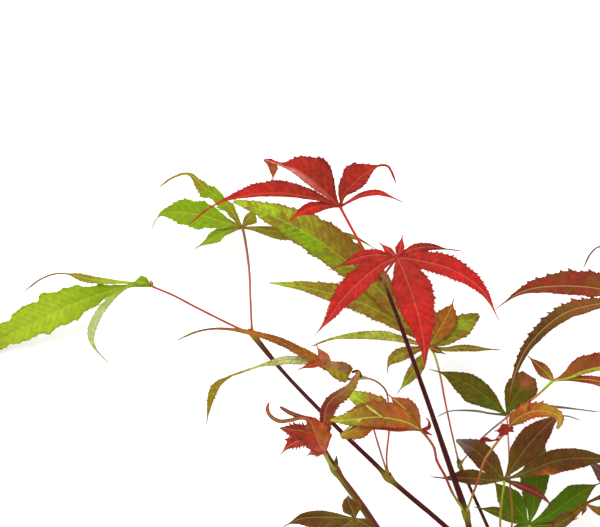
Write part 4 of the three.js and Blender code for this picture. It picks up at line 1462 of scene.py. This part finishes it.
class MAPLE_OT_buds(bpy.types.Operator):
    """Build the buds at the nodes"""

    bl_idname = "maple.buds"
    bl_label = "Buds"

    def execute(self, context):
        shells = Shells()
        for i, (shoot, point, bearing, tilt, length) in enumerate(BUDS):
            root = SHOOTS[shoot]["route"][point][:3]
            grow_bud(shells, root, bearing, tilt, length, np.random.default_rng(BUD_SEED + i))
        shells.build("buds", bark_for("bark_maroon"))
        return {"FINISHED"}


class MAPLE_OT_red_leaves(bpy.types.Operator):
    """Build the red leaves"""

    bl_idname = "maple.red_leaves"
    bl_label = "Red leaves"

    def execute(self, context):
        grow_leaves("leaf_red")
        return {"FINISHED"}


class MAPLE_OT_green_leaves(bpy.types.Operator):
    """Build the green leaves"""

    bl_idname = "maple.green_leaves"
    bl_label = "Green leaves"

    def execute(self, context):
        grow_leaves("leaf_green")
        return {"FINISHED"}


class MAPLE_OT_mottled_leaves(bpy.types.Operator):
    """Build the leaves that are mottled green and brown"""

    bl_idname = "maple.mottled_leaves"
    bl_label = "Mottled leaves"

    def execute(self, context):
        grow_leaves("leaf_mottled")
        return {"FINISHED"}


class MAPLE_OT_orange_leaves(bpy.types.Operator):
    """Build the orange leaves"""

    bl_idname = "maple.orange_leaves"
    bl_label = "Orange leaves"

    def execute(self, context):
        grow_leaves("leaf_orange")
        return {"FINISHED"}


class MAPLE_OT_brown_leaves(bpy.types.Operator):
    """Build the dark brown leaves"""

    bl_idname = "maple.brown_leaves"
    bl_label = "Brown leaves"

    def execute(self, context):
        grow_leaves("leaf_brown")
        return {"FINISHED"}


class MAPLE_OT_stage(bpy.types.Operator):
    """Set up the floor, the light and the camera"""

    bl_idname = "maple.stage"
    bl_label = "Stage"

    def execute(self, context):
        scene = context.scene
        settings = scene.maple_stage
        bpy.ops.mesh.primitive_plane_add(size=FLOOR_SIZE, location=(0, 0, 0))
        floor = context.object
        floor.name = "floor"
        floor.data.materials.append(finish_named("pale floor", floor_finish))

        world = bpy.data.worlds.new("studio")
        world.use_nodes = True
        background = world.node_tree.nodes["Background"]
        background.inputs["Color"].default_value = (1.0, 1.0, 1.0, 1.0)
        background.inputs["Strength"].default_value = settings.daylight
        scene.world = world

        middle = (np.array(PHOTO_SIZE) * PIXEL / 2 + PLAN_TO_ORIGIN[:2]) * 0.001
        aim = Vector((*middle, LEAF_LEVEL))
        lamp = bpy.data.lights.new("soft lamp", "AREA")
        lamp.shape = "DISK"
        lamp.size = LAMP_SIZE
        lamp.energy = settings.lamp_power
        lit = bpy.data.objects.new("soft lamp", lamp)
        lit.location = aim + Vector(LAMP_PLACE)
        lit.rotation_euler = (aim - lit.location).to_track_quat("-Z", "Y").to_euler()
        context.collection.objects.link(lit)

        lens = bpy.data.cameras.new("camera")
        lens.sensor_width = SENSOR_WIDTH
        lens.lens = SENSOR_WIDTH * settings.camera_distance / (PHOTO_SIZE[0] * PIXEL * 0.001)
        lens.clip_end = VIEW_END
        camera = bpy.data.objects.new("camera", lens)
        camera.location = aim + Vector((0, 0, settings.camera_distance))
        context.collection.objects.link(camera)
        scene.camera = camera
        scene.view_settings.view_transform = "Standard"
        return {"FINISHED"}


OPERATORS = (
    MAPLE_OT_main_limb,
    MAPLE_OT_shoots,
    MAPLE_OT_buds,
    MAPLE_OT_red_leaves,
    MAPLE_OT_green_leaves,
    MAPLE_OT_mottled_leaves,
    MAPLE_OT_orange_leaves,
    MAPLE_OT_brown_leaves,
    MAPLE_OT_stage,
)
GROUPS = {
    "maple_tones": MapleTones,
    "maple_blade": MapleBlade,
    "maple_bark": MapleBark,
    "maple_stage": MapleStage,
}


class MAPLE_PT_branch(bpy.types.Panel):
    """Settings and build steps of the maple branch"""

    bl_label = "Maple branch"
    bl_idname = "MAPLE_PT_branch"
    bl_space_type = "VIEW_3D"
    bl_region_type = "UI"
    bl_category = "Maple"

    def draw(self, context):
        for key, group in GROUPS.items():
            box = self.layout.box()
            box.label(text=group.__doc__)
            for setting in group.__annotations__:
                box.prop(getattr(context.scene, key), setting)
        for operator in OPERATORS:
            self.layout.operator(operator.bl_idname)


def register():
    for key, group in GROUPS.items():
        bpy.utils.register_class(group)
        setattr(bpy.types.Scene, key, PointerProperty(type=group))
    for operator in OPERATORS:
        bpy.utils.register_class(operator)
    bpy.utils.register_class(MAPLE_PT_branch)


def unregister():
    bpy.utils.unregister_class(MAPLE_PT_branch)
    for operator in reversed(OPERATORS):
        bpy.utils.unregister_class(operator)
    for key, group in GROUPS.items():
        delattr(bpy.types.Scene, key)
        bpy.utils.unregister_class(group)


def main():
    register()
    bpy.ops.maple.main_limb()
    bpy.ops.maple.shoots()
    bpy.ops.maple.buds()
    bpy.ops.maple.red_leaves()
    bpy.ops.maple.green_leaves()
    bpy.ops.maple.mottled_leaves()
    bpy.ops.maple.orange_leaves()
    bpy.ops.maple.brown_leaves()
    bpy.ops.maple.stage()


if __name__ == "__main__":
    main()
